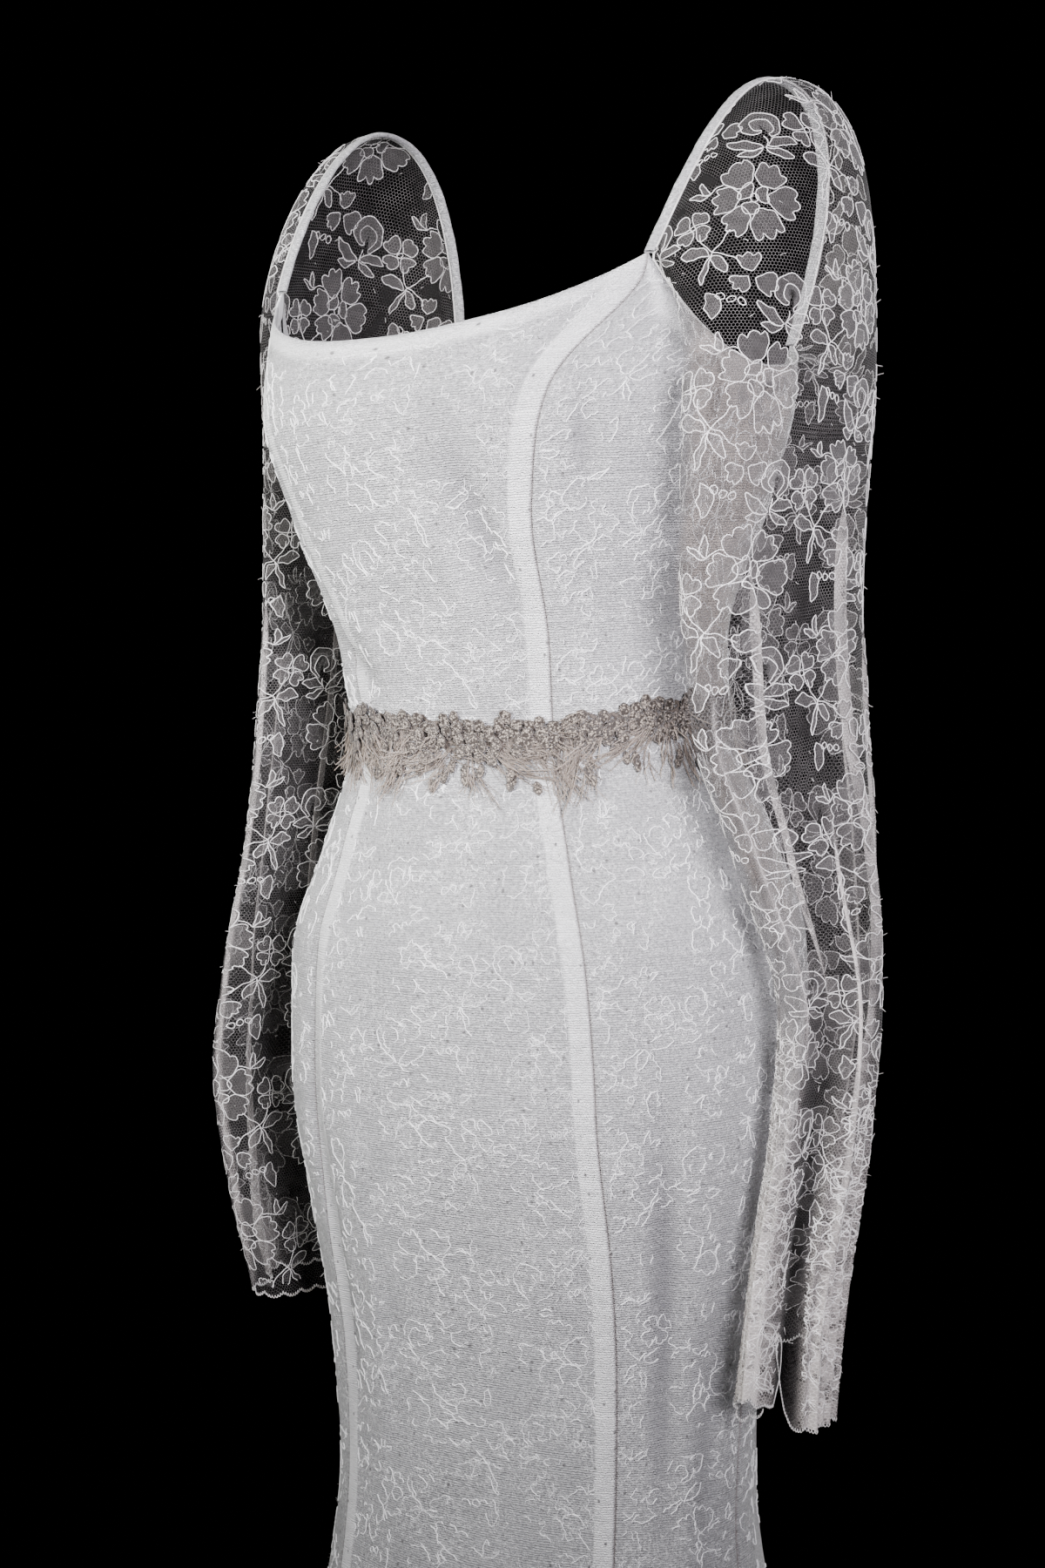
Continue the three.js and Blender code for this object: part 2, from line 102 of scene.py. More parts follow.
# Creases of the gown: a trough (or a ridge, where the depth is above 0) between two points of the surface
CREASES = np.array(
    [
        # angle, drop, angle, drop, half width, depth
        (17, 218, 27, 292, 13, -6.4),
        (7, 236, 14, 300, 12, 2.8),
        (-40, 312, -20, 338, 9, -4.0),
        (-30, 296, -8, 326, 9, 1.8),
        (47, 172, 49, 240, 11, -3.6),
        (70, 250, 82, 330, 9, -2.4),
        (53, 590, 61, 830, 17, -5.4),
        (38, 620, 40, 860, 15, 2.6),
        (-34, 500, -36, 780, 13, -3.8),
        (-20, 560, -22, 800, 12, 2.4),
        (76, 640, 78, 860, 14, -3.6),
        (-58, 420, -48, 520, 10, -2.2),
        (58, 420, 46, 500, 10, -2.0),
        (128, 280, 150, 335, 9, -1.8),
        (-132, 290, -152, 340, 9, -1.6),
        (150, 600, 152, 840, 16, -3.0),
        (-150, 620, -148, 830, 15, -2.6),
        (170, 400, 166, 450, 9, -1.6),
        (-168, 404, -160, 446, 9, -1.5),
        (110, 660, 112, 880, 15, -2.0),
        (-104, 640, -106, 880, 14, -2.2),
    ],
    float,
)

DEEP_FOLD = 6.0  # a trough of this depth is the most shaded


def sin(degrees):
    return np.sin(np.radians(degrees))


def cos(degrees):
    return np.cos(np.radians(degrees))


def smooth(t):
    """0 to 1 over t from 0 to 1, with soft ends."""
    t = np.clip(t, 0, 1)
    return t * t * (3 - 2 * t)


def lerp(low, high, t):
    return low + (high - low) * t


def unit(vectors):
    return vectors / np.linalg.norm(vectors, axis=-1, keepdims=True)


def lengths(path):
    """The distance along a path to each of its points."""
    return np.concatenate([[0], np.cumsum(np.linalg.norm(np.diff(path, axis=0), axis=1))])


def body_point(angle, drop):
    """The gown's smooth outer surface before it is posed."""
    s, c = sin(angle), cos(angle)
    depth = np.where(c > 0, SECTIONS.at("front", drop), SECTIONS.at("back", drop))
    power = 2 / SQUARENESS
    x = SECTIONS.at("half_width", drop) * np.sign(s) * np.abs(s) ** power
    y = -depth * np.sign(c) * np.abs(c) ** power
    share = np.maximum(0, (drop - FLUTES["from"]) / (HEM_DROP - FLUTES["from"]))
    flute = FLUTES["depth"] * share**2 * cos(angle * FLUTES["count"])
    grow = 1 + flute / np.hypot(x, y)
    return np.stack(np.broadcast_arrays(x * grow, MIDDLE_Y + y * grow, -drop), -1)


def body_normal(angle, drop):
    across = body_point(angle + 0.4, drop) - body_point(angle - 0.4, drop)
    down = body_point(angle, drop + 1) - body_point(angle, drop - 1)
    return unit(np.cross(down, across))


def crease_depth(angle, drop):
    """How far the creases and the cloth's slight unevenness move the surface out."""
    radius = 1.15 * SECTIONS.at("half_width", drop)
    out = 0.5 * sin(angle * 7 + drop * 0.9) * sin(drop * 1.7 + 40) + 0.35 * sin(angle * 13 - drop * 1.3)
    for a0, d0, a1, d1, width, depth in CREASES:
        across = np.radians(a1 - a0) * radius
        along = d1 - d0
        du = np.radians((angle - a0 + 180) % 360 - 180) * radius
        dv = drop - d0
        length2 = across**2 + along**2
        t = np.clip((du * across + dv * along) / length2, 0, 1)
        away2 = (du - t * across) ** 2 + (dv - t * along) ** 2
        swell = 0.35 + 0.65 * np.sin(math.pi * np.clip(t, 0.04, 0.96))
        out = out + depth * swell * np.exp(-away2 / (2 * (0.6 * width) ** 2))
    return out


def pose(points, turned):
    """The pose it is worn in: hips turned on the shoulders, unless for a sleeve, and the left side higher."""
    x, y, z = np.moveaxis(np.asarray(points, float), -1, 0)
    drop = -z
    if turned:
        turn = SECTIONS.at("turn", drop)
        y = y - MIDDLE_Y
        x, y = x * cos(turn) - y * sin(turn), MIDDLE_Y + x * sin(turn) + y * cos(turn)
    return np.stack([x, y, z + x * np.tan(np.radians(LEAN.at("slope", drop)))], -1)


def on_body(angle, drop, out=0.0):
    """Posed points of the creased cloth, moved out by a distance."""
    angle, drop, out = np.broadcast_arrays(np.asarray(angle, float), np.asarray(drop, float), out)
    move = (crease_depth(angle, drop) + out)[..., None]
    return pose(body_point(angle, drop) + body_normal(angle, drop) * move, True)


# Seams, as angles at a drop
def seam_angle(name, drop):
    if name == "centre_front":
        return np.zeros_like(drop)
    if name == "side":
        return np.full_like(drop, SIDE_ANGLE)
    if name == "centre_back":
        return np.full_like(drop, 180.0)
    share = SECTIONS.at(name, drop) / SECTIONS.at("half_width", drop)
    angle = np.degrees(np.arcsin(share ** (SQUARENESS / 2)))
    return angle if name == "front_seam" else 180 - angle


FRONT_CORNER = float(seam_angle("front_seam", np.array(float(NECK["front_corner"]))))
BACK_CORNER = float(seam_angle("back_seam", np.array(float(NECK["back_corner"]))))
CORNERS = {
    "centre_front": 0,
    "front_seam": FRONT_CORNER,
    "side": SIDE_ANGLE,
    "back_seam": BACK_CORNER,
    "centre_back": 180,
}


def neck_drop(angle):
    """The drop of the top edge at an angle."""
    a = np.abs(angle)
    front = lerp(NECK["centre_front"], NECK["front_corner"], (a / FRONT_CORNER) ** 2)
    t = np.clip((a - FRONT_CORNER) / (SIDE_ANGLE - FRONT_CORNER), 0, 1)
    armhole = lerp(NECK["underarm"], NECK["front_corner"], (1 - t) ** 1.7)
    t = np.clip((a - SIDE_ANGLE) / (BACK_CORNER - SIDE_ANGLE), 0, 1)
    behind = lerp(NECK["underarm"], NECK["back_corner"], t**2)
    t = np.clip((180 - a) / (180 - BACK_CORNER), 0, 1)
    back = lerp(NECK["centre_back"], NECK["back_corner"], t**2)
    return np.select([a <= FRONT_CORNER, a <= SIDE_ANGLE, a <= BACK_CORNER], [front, armhole, behind], back)


def make_mesh(name, points, faces, material, uv=None, paint=None, along=None):
    """A smooth mesh from arrays of points in millimetres and of faces with one count of corners."""
    mesh = bpy.data.meshes.new(name)
    faces = np.asarray(faces, np.int32)
    corners = faces.shape[1]
    mesh.vertices.add(len(points))
    mesh.vertices.foreach_set("co", (np.asarray(points) * MM).astype(np.float32).ravel())
    mesh.loops.add(faces.size)
    mesh.loops.foreach_set("vertex_index", faces.ravel())
    mesh.polygons.add(len(faces))
    mesh.polygons.foreach_set("loop_start", np.arange(0, faces.size, corners, dtype=np.int32))
    mesh.update(calc_edges=True)
    mesh.polygons.foreach_set("use_smooth", np.ones(len(faces), bool))
    for key, values in (("cloth", uv), ("along", along)):
        if values is not None:
            layer = mesh.uv_layers.new(name=key)
            layer.data.foreach_set("uv", np.asarray(values, np.float32)[faces.ravel()].ravel())
    for key, values in (paint or {}).items():
        layer = mesh.attributes.new(key, "FLOAT", "POINT")
        layer.data.foreach_set("value", np.asarray(values, np.float32).ravel())
    mesh.materials.append(material)
    mesh.validate()
    piece = bpy.data.objects.new(name, mesh)
    bpy.context.collection.objects.link(piece)
    return piece


def grid_faces(rows, columns, ring=False):
    """Faces of a grid of points, row by row. A ring's rows join up with themselves."""
    i, j = np.meshgrid(np.arange(rows - 1), np.arange(columns if ring else columns - 1), indexing="ij")
    k = (j + 1) % columns
    a, b = i * columns + j, i * columns + k
    return np.stack([a, b, b + columns, a + columns], -1).reshape(-1, 4)


def place_piece(piece, slot, *nodes):
    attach(piece, GOWN)
    if nodes:
        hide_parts(*nodes)
    return piece


# Materials

NET_CELL = 1.9
CREPE_RIB = 1.4
FILLING_RIB = 0.8


class Nodes:
    """A material's node tree, with short ways to add and join nodes."""

    def __init__(self, name):
        self.material = bpy.data.materials.new(name)
        self.material.use_nodes = True
        self.tree = self.material.node_tree
        self.shader = self.tree.nodes["Principled BSDF"]

    def add(self, kind, inputs=None, **settings):
        node = self.tree.nodes.new("ShaderNode" + kind)
        for key, value in settings.items():
            setattr(node, key, value)
        for key, value in (inputs or {}).items():
            self.feed(node.inputs[key], value)
        return node

    def feed(self, socket, value):
        if isinstance(value, bpy.types.NodeSocket):
            self.tree.links.new(value, socket)
        else:
            socket.default_value = value

    def math(self, operation, *values, clamp=False):
        node = self.add("Math", operation=operation, use_clamp=clamp)
        for socket, value in zip(node.inputs, values):
            self.feed(socket, value)
        return node.outputs[0]

    def times(self, first, second):
        return self.math("MULTIPLY", first, second)

    def plus(self, first, second, clamp=False):
        return self.math("ADD", first, second, clamp=clamp)

    def paint(self, name):
        """A tone painted on the points of the mesh."""
        return self.add("Attribute", attribute_name=name).outputs["Fac"]

    def rib(self, line, step, wobble, wander):
        """Ribs a step apart across a line, from -1 to 1, made to wander."""
        return self.math("SINE", self.plus(self.times(line, 2 * math.pi / step), self.times(wobble, wander)))

    def flat(self, scale=(1, 1, 1), turn=0.0):
        """The cloth's own flat coordinates, in millimetres, scaled and turned."""
        uv = self.add("UVMap", uv_map="cloth").outputs[0]
        mapping = self.add("Mapping", {"Vector": uv, "Scale": scale, "Rotation": (0, 0, turn)})
        return mapping.outputs[0]

    def noise(self, vector, scale, detail=2.0, roughness=0.5):
        inputs = {"Vector": vector, "Scale": scale, "Detail": detail, "Roughness": roughness}
        return self.add("TexNoise", inputs).outputs["Fac"]

    def ramp(self, factor, stops):
        node = self.add("ValToRGB", {"Fac": factor})
        elements = node.color_ramp.elements
        while len(elements) < len(stops):
            elements.new(0.5)
        for element, (at, colour) in zip(elements, stops):
            element.position = at
            element.color = (*colour, 1)
        return node.outputs["Color"]

    def span(self, value, low, high, to_low=0.0, to_high=1.0):
        inputs = {"Value": value, "From Min": low, "From Max": high, "To Min": to_low, "To Max": to_high}
        return self.add("MapRange", inputs).outputs["Result"]

    def mix(self, factor, first, second):
        """A colour part of the way from the first to the second."""
        second = second if isinstance(second, bpy.types.NodeSocket) else (*second, 1)
        return self.add("MixRGB", {"Fac": factor, "Color1": first, "Color2": second}).outputs[0]

    def bump(self, height, strength, distance):
        node = self.add("Bump", {"Height": height, "Strength": strength, "Distance": distance})
        self.tree.links.new(node.outputs[0], self.shader.inputs["Normal"])
        return node

    def set(self, **values):
        for key, value in values.items():
            self.feed(self.shader.inputs[key.replace("_", " ")], value)


def honeycomb(nodes, vector, cell):
    """How near a flat point is to a six-sided net's threads: 0 in the middle of a hole, 1 on a thread."""
    tile = (cell, cell * math.sqrt(3), 1)
    near = None
    for shift in (0, 0.5):
        move = tuple(shift * size for size in tile)
        moved = nodes.add("VectorMath", {0: vector, 1: move}, operation="ADD").outputs[0]
        high = tuple(size / 2 for size in tile)
        low = tuple(-size / 2 for size in tile)
        wrapped = nodes.add("VectorMath", {0: moved, 1: high, 2: low}, operation="WRAP").outputs[0]
        size = nodes.add("VectorMath", {0: wrapped}, operation="ABSOLUTE").outputs[0]
        slant = nodes.add("VectorMath", {0: size, 1: (0.5, math.sqrt(3) / 2, 0)}, operation="DOT_PRODUCT")
        across = nodes.add("SeparateXYZ", {"Vector": size}).outputs["X"]
        reach = nodes.math("MAXIMUM", slant.outputs["Value"], across)
        near = reach if near is None else nodes.math("MINIMUM", near, reach)
    return nodes.math("DIVIDE", near, cell / 2)


def squiggle(m, flat, scale):
    """Fine wandering lines, 1 on a line and 0 off it: where a noise passes its middle value."""
    off = m.math("ABSOLUTE", m.math("SUBTRACT", m.noise(flat, scale, 2), 0.5))
    return m.span(off, 0.008, 0.022, 1.0, 0.0)


def crepe_material():
    """White crepe with a crosswise rib under a fine net and wandering threads, with dark specks that are partly
    painted shadow, and painted shade in dark strokes, seams, folds and under the left sleeve.
    """
    m = Nodes("corded_lace_crepe")
    flat = m.flat()
    wobble = m.noise(flat, 0.35, 2)
    line = m.add("SeparateXYZ", {"Vector": flat}).outputs["Y"]
    rib = m.rib(line, CREPE_RIB, wobble, 9.0)
    net = m.span(honeycomb(m, flat, NET_CELL), 0.72, 0.9, 0.0, 1.0)
    cloud = m.noise(flat, 0.02, 3)
    grain = m.noise(flat, 0.5, 3, 0.8)
    tone = m.plus(m.times(cloud, 0.12), m.times(grain, 0.88))
    base = m.ramp(tone, [(0.4, (0.23, 0.23, 0.233)), (0.6, (0.52, 0.52, 0.52))])
    lit = m.mix(m.times(net, 0.2), base, (0.66, 0.658, 0.656))
    patches = m.span(m.noise(flat, 0.035, 2), 0.42, 0.54, 0.0, 1.0)
    finer = m.math("MAXIMUM", squiggle(m, flat, 0.17), squiggle(m, m.flat(turn=1.1), 0.21))
    finer = m.times(finer, patches)
    # Painted shadow: short dark strokes beside the fine wandering threads
    shadow_strokes = m.times(squiggle(m, m.flat(turn=2.3), 0.13), m.span(wobble, 0.5, 0.56, 0.0, 1.0))
    lit = m.mix(m.times(finer, 0.8), lit, (0.9, 0.897, 0.89))
    lit = m.mix(m.times(m.times(shadow_strokes, patches), 0.55), lit, (0.22, 0.212, 0.21))
    double = m.paint("double")
    band = m.mix(m.times(double, 0.9), lit, (0.86, 0.86, 0.85))
    # Dark specks: partly dark flecks of thread, partly painted shadows of cut thread ends
    spots = m.add("TexVoronoi", {"Vector": flat, "Scale": 0.1, "Randomness": 1.0}).outputs["Distance"]
    ragged = m.plus(spots, m.times(grain, 0.1))
    speck = m.times(m.span(ragged, 0.11, 0.19, 1.0, 0.0), 0.9)
    marked = m.mix(speck, band, (0.1, 0.095, 0.093))
    # Painted shade: the cloth is darker in the troughs of the creases
    fold = m.paint("fold")
    marked = m.mix(m.times(fold, 0.8), marked, (0.2, 0.197, 0.205))
    # Painted shade: a dark line along each seam
    seam = m.paint("seam")
    # Painted shade: warmer and darker where the left sleeve lies over the cloth
    shade = m.paint("shade")
    cast = m.mix(m.times(shade, 0.75), marked, (0.57, 0.475, 0.4))
    m.set(Base_Color=m.mix(m.times(seam, 0.8), cast, (0.2, 0.165, 0.15)))
    m.set(Roughness=m.span(grain, 0.2, 0.8, 0.62, 0.82))
    m.set(Sheen_Weight=0.25, Sheen_Roughness=0.45, Specular_IOR_Level=0.25)
    raised = m.plus(m.times(net, 0.5), m.times(grain, 1.3))
    raised = m.plus(raised, finer)
    m.bump(m.plus(m.times(rib, 0.45), raised), 1.0, 0.0009)
    return m.material


def net_material():
    """Sheer sleeve net of six-sided holes, made more see-through in deep grooves as painted shade."""
    m = Nodes("sheer_corded_lace")
    flat = m.flat()
    drift = m.noise(flat, 0.06, 2)
    thread = m.span(honeycomb(m, flat, NET_CELL), 0.85, 0.92, 0.0, 1.0)
    layers = m.paint("layers")
    cover = m.times(thread, m.span(drift, 0.3, 0.7, 0.7, 0.95))
    # Painted shade: the net is thinned where it lies deep in a groove, so that the groove reads dark
    gap = m.paint("gap")
    holes = m.span(m.noise(flat, 0.13, 2), 0.38, 0.46, 0.3, 1.0)
    packed = m.times(m.times(layers, 0.62), holes)
    closed = m.plus(cover, packed, clamp=True)
    m.set(Alpha=m.times(closed, m.span(gap, 0.0, 1.0, 1.0, 0.25)))
    single = m.ramp(drift, [(0.3, (0.058, 0.054, 0.052)), (0.7, (0.105, 0.099, 0.096))])
    m.set(Base_Color=m.mix(m.span(layers, 0.2, 0.9, 0.0, 0.8), single, (0.6, 0.555, 0.525)))
    m.set(Roughness=0.8, Specular_IOR_Level=0.2, Sheen_Weight=0.15)
    return m.material


def fill_material():
    """The dense ribbed weave that fills petals and leaves."""
    m = Nodes("lace_filling")
    flat = m.flat(turn=0.35)
    wobble = m.noise(flat, 0.25, 2)
    line = m.add("SeparateXYZ", {"Vector": flat}).outputs["X"]
    rib = m.rib(line, FILLING_RIB, wobble, 5.0)
    m.set(Alpha=m.span(rib, -0.7, 0.9, 0.1, 0.5))
    m.set(Base_Color=m.ramp(wobble, [(0.3, (0.1, 0.094, 0.091)), (0.7, (0.16, 0.151, 0.146))]))
    m.set(Roughness=0.75, Specular_IOR_Level=0.2, Sheen_Weight=0.15)
    m.bump(rib, 0.4, 0.0004)
    return m.material


def thread_material(name, dark, light, twist, roughness=0.55, sheen=0.3):
    """Satin thread: slanted turns along each cord, with the tone drifting from place to place."""
    m = Nodes(name)
    flat = m.flat()
    drift = m.noise(flat, 0.09, 3)
    split = m.add("SeparateXYZ", {"Vector": m.add("UVMap", uv_map="along").outputs[0]})
    slant = m.plus(split.outputs["X"], split.outputs["Y"])
    # Painted light and shade on the twist: the turns are lighter and darker in stripes, besides their bump
    turns = m.math("SINE", m.times(slant, 2 * math.pi / twist))
    tone = m.plus(m.times(drift, 0.75), m.span(turns, -1, 1, 0.0, 0.25))
    # Painted shade: a fringe thread is darker at its root under the trim and lighter towards its tip
    tip = m.paint("tip")
    tone = m.plus(tone, m.times(tip, 0.3))
    m.set(Base_Color=m.ramp(tone, [(0.36, dark), (0.72, light)]))
    m.set(Roughness=roughness, Specular_IOR_Level=0.3, Sheen_Weight=sheen, Sheen_Roughness=0.4)
    m.bump(turns, 0.5, 0.0003)
    return m.material


def taupe_fill_material():
    """Knotted embroidery that fills the trim's petals: small beads of thread, lighter in their middles and dark in
    the gaps between them as painted light and shade.
    """
    m = Nodes("taupe_filling")
    flat = m.flat()
    wobble = m.noise(flat, 0.3, 2)
    cells = m.add("TexVoronoi", {"Vector": flat, "Scale": 0.75, "Randomness": 0.9}).outputs["Distance"]
    # Painted light and shade: each bead lighter in its middle, dark at its rim and in the gaps
    bead = m.span(cells, 0.1, 0.65, 1.0, 0.0)
    tone = m.plus(m.times(wobble, 0.35), m.times(bead, 0.65))
    m.set(Base_Color=m.ramp(tone, [(0.25, (0.02, 0.014, 0.01)), (0.8, (0.41, 0.35, 0.285))]))
    m.set(Roughness=0.5, Specular_IOR_Level=0.35, Sheen_Weight=0.2)
    m.bump(bead, 0.9, 0.0007)
    return m.material


def taupe_ground_material():
    """The worn net behind the trim's petals: a backing whose dark colour is partly painted shade in the gaps
    between them.
    """
    m = Nodes("taupe_ground")
    flat = m.flat()
    fray = m.noise(flat, 0.45, 3)
    m.set(Alpha=m.span(fray, 0.36, 0.5, 0.35, 1.0))
    m.set(Base_Color=m.ramp(fray, [(0.35, (0.016, 0.012, 0.009)), (0.7, (0.13, 0.107, 0.09))]))
    m.set(Roughness=0.7, Specular_IOR_Level=0.2)
    m.bump(fray, 0.6, 0.0005)
    return m.material


def metal_material():
    m = Nodes("zip_metal")
    vector = m.add("TexCoord").outputs["Object"]
    scratch = m.noise(vector, 900, 3)
    m.set(Base_Color=m.ramp(scratch, [(0.3, (0.52, 0.51, 0.50)), (0.7, (0.68, 0.67, 0.66))]))
    m.set(Metallic=1.0, Roughness=m.span(scratch, 0.3, 0.7, 0.25, 0.45))
    m.bump(scratch, 0.15, 0.0002)
    return m.material


def floor_material():
    m = Nodes("floor")
    vector = m.add("TexCoord").outputs["Object"]
    m.set(Base_Color=m.ramp(m.noise(vector, 3, 3), [(0.3, (0.60, 0.59, 0.58)), (0.7, (0.66, 0.65, 0.64))]))
    m.set(Roughness=0.85)
    return m.material


CREPE_CLOTH = crepe_material()
NET = net_material()
FILLING = fill_material()
WHITE_CORD = thread_material("white_cord", (0.50, 0.475, 0.46), (0.90, 0.885, 0.87), 1.4)
BODY_CORD = thread_material("body_cord", (0.78, 0.777, 0.77), (0.98, 0.978, 0.972), 1.4)
TAUPE_CORD = thread_material("taupe_guipure", (0.012, 0.008, 0.006), (0.33, 0.265, 0.212), 0.9, 0.5, 0.35)
# The petals' outlines: a darker thread, darker still as painted shade along the petals' edges
DARK_TAUPE_CORD = thread_material(
    "dark_taupe_outline", (0.01, 0.007, 0.005), (0.17, 0.138, 0.115), 0.8, 0.42, 0.35
)
# Dark loose thread ends: partly darker thread, partly painted shadow of cut ends on the white cloth
DULL_CORD = thread_material("dull_thread_ends", (0.12, 0.105, 0.098), (0.3, 0.275, 0.26), 1.4)
TAUPE_FILL = taupe_fill_material()
TAUPE_GROUND = taupe_ground_material()
METAL = metal_material()

# Cloth as a grid of points


class Cloth:
    """A grid of surface points, row by row, with its outward directions, to lay things on."""

    def __init__(self, points, flip=False):
        self.points = points
        across = np.gradient(points, axis=1)
        along = np.gradient(points, axis=0)
        normal = np.cross(across, along) * (-1 if flip else 1)
        self.normals = unit(normal)

    def at(self, row, column, out=0.0):
        """Points at any place between the rows and columns, moved out by a distance."""
        rows, columns = self.points.shape[:2]
        row = np.clip(row, 0, rows - 1.001)
        column = np.clip(column, 0, columns - 1.001)
        i, j = row.astype(int), column.astype(int)
        a, b = (row - i)[..., None], (column - j)[..., None]

        def mixed(grid):
            low = grid[i, j] * (1 - b) + grid[i, j + 1] * b
            high = grid[i + 1, j] * (1 - b) + grid[i + 1, j + 1] * b
            return low * (1 - a) + high * a

        return mixed(self.points) + mixed(self.normals) * np.asarray(out)[..., None]


# Panels

PANELS = [
    # node, side of the body, seams from front to back, columns
    ("front_panel", 0, "centre_front", "front_seam", 92),
    ("front_side_panel_left", 1, "front_seam", "side", 54),
    ("front_side_panel_right", -1, "front_seam", "side", 54),
    ("back_side_panel_left", 1, "side", "back_seam", 44),
    ("back_side_panel_right", -1, "side", "back_seam", 44),
    ("back_panel_left", 1, "back_seam", "centre_back", 38),
    ("back_panel_right", -1, "back_seam", "centre_back", 38),
]
LEVEL_TOP = 240  # rows are level below this drop and follow the top edge above it
ROW_STEP = 7
EDGE_FINER = 0.8  # how much closer the columns lie at the seams than in the middle of a panel
TOP_ROWS = 24
SEAM_ALLOWANCE = 14  # pressed seam allowance that shows beside a princess seam
EDGE_BAND = 10  # turned edge along the neckline
SEAM_LINE = 0.9  # half width of the shadow line in a seam
# Painted shade: the left panels are painted warmer and darker where the sleeve lies over them, from this angle at a
# drop
UNDER_SLEEVE = Table("drop angle", [(165, 70), (215, 72), (275, 75), (335, 82), (400, 86), (520, 90)])
UNDER_SLEEVE_END = {"soft": 3, "angle": 118, "fade": 20, "drop": 520, "rise": 60}
# A facing: how far below the edge, and how far in
TURN_IN = [(-0.4, -0.5), (-0.5, -1.2), (3, -1.8), (14, -2.0)]
SEAM_DIP = 0.9
ALLOWANCE_LIFT = 0.5
BODY_CORDS = {"width": 0.46, "height": 0.62, "worn": 0.4, "clear": 3}
BODY_ENDS = {"per_column": 2, "pale": 3.6, "dull": 2.6, "from_row": 70}


class Panel:
    """One cut panel: where its grid of cloth lies on the body, and where a flat point lies on its grid."""

    def __init__(self, name, side, front, back, columns):
        self.name, self.side, self.columns = name, side, columns
        self.front, self.back = front, back
        self.clear = SEAM_ALLOWANCE if name == "front_panel" else BODY_CORDS["clear"]
        even = np.linspace(0, 1, columns + 1)
        self.shares = even - EDGE_FINER * np.sin(2 * math.pi * even) / (2 * math.pi)
        ends = (-CORNERS[back] if side == 0 else CORNERS[front], CORNERS[back])
        self.tops = neck_drop(lerp(*ends, self.shares))
        self.levels = np.arange(HEM_DROP, LEVEL_TOP, -ROW_STEP)
        rise = np.linspace(0, 1, TOP_ROWS)[:, None]
        level_part = np.repeat(self.levels[:, None], columns + 1, 1)
        self.drops = np.concatenate([level_part, LEVEL_TOP + (self.tops - LEVEL_TOP) * rise])
        edge = lerp(*ends, self.shares) - self.between(self.tops)
        climb = np.concatenate([np.zeros((len(self.levels), 1)), rise])
        self.angles = (self.between(self.drops) + edge * climb) * (side or 1)
        widths = [self.width(drop) for drop in self.levels]
        self.width_at = np.array(widths[::-1])
        self.level_at = self.levels[::-1]
        self.margins = np.minimum(self.shares, 1 - self.shares) * self.wide(self.drops)
        self.cloth = Cloth(self.surface(0.0), side < 0)

    def limits(self, drop):
        """The angles of its two edges at a drop, front to back on its own side."""
        back = seam_angle(self.back, drop)
        front = -back if self.side == 0 else seam_angle(self.front, drop)
        return front, back

    def between(self, drop):
        """Angles at the grid's shares of the way between its edges."""
        return lerp(*self.limits(drop), self.shares)

    def width(self, drop):
        first, last = self.limits(np.array(float(drop)))
        row = body_point(np.linspace(first, last, 40), drop)
        return np.linalg.norm(np.diff(row, axis=0), axis=-1).sum()

    def wide(self, drop):
        above = self.width_at[0] * (1 + 0.0012 * np.maximum(0, self.level_at[0] - drop))
        return np.where(drop < self.level_at[0], above, np.interp(drop, self.level_at, self.width_at))

    def surface(self, out):
        return on_body(self.angles, self.drops, out)

    def flat(self):
        """The flat place of each grid point: across from the panel's middle, and its drop."""
        return np.stack([(self.shares - 0.5) * self.wide(self.drops), self.drops], -1)

    def find(self, across, drop):
        """The row and column of flat points, and which of them lie on the panel clear of its edges."""
        wide = self.wide(drop)
        share = across / wide + 0.5
        column = np.interp(share, self.shares, np.arange(self.columns + 1))
        top = np.interp(share, self.shares, self.tops)
        rise = (LEVEL_TOP - drop) / (LEVEL_TOP - top)
        low = (HEM_DROP - drop) / ROW_STEP
        row = np.where(drop > LEVEL_TOP, low, len(self.levels) + rise * (TOP_ROWS - 1))
        inside = (np.abs(across) < wide / 2 - self.clear) & (drop > top + self.clear / 2)
        inside &= drop < HEM_DROP - 2
        return row, column, inside

    @staticmethod
    def with_facings(values):
        """Values of the grid's points, with the end rows repeated for the facings."""
        ends = len(TURN_IN)
        return np.concatenate([values[:1]] * ends + [values] + [values[-1:]] * ends)

    def piece(self):
        below_edge = self.drops - self.tops
        double = 0.9 * (1 - smooth((below_edge - EDGE_BAND) / 1.2)) * smooth(below_edge / 2)
        if self.name == "front_panel":
            double = np.maximum(double, 1 - smooth((self.margins - SEAM_ALLOWANCE) / 1.6))
        # How near a seam: the cloth dips there, and a painted shade line darkens it
        seam = np.exp(-((self.margins / SEAM_LINE) ** 2))
        rows, flats = [self.surface(-SEAM_DIP * seam + ALLOWANCE_LIFT * double)], [self.flat()]
        for step, inward in TURN_IN:
            rows.append(on_body(self.angles[-1:], self.drops[-1:] + step, inward))
            rows.insert(0, on_body(self.angles[:1], self.drops[:1] - max(step, 0), inward))
            flats.append(flats[-1][-1:] - (0, abs(step)))
            flats.insert(0, flats[0][:1] + (0, abs(step)))
        points = np.concatenate(rows)
        faces = grid_faces(*points.shape[:2])
        if self.side < 0:
            faces = faces[:, ::-1]
        flat = np.concatenate(flats).reshape(-1, 2)
        # Painted shade under the left sleeve: warmer and darker where it lies over the panel
        end = UNDER_SLEEVE_END
        shade = smooth((self.angles - UNDER_SLEEVE.at("angle", self.drops)) / end["soft"])
        shade = shade * smooth((end["angle"] - self.angles) / end["fade"])
        shade = shade * smooth((end["drop"] - self.drops) / end["rise"])
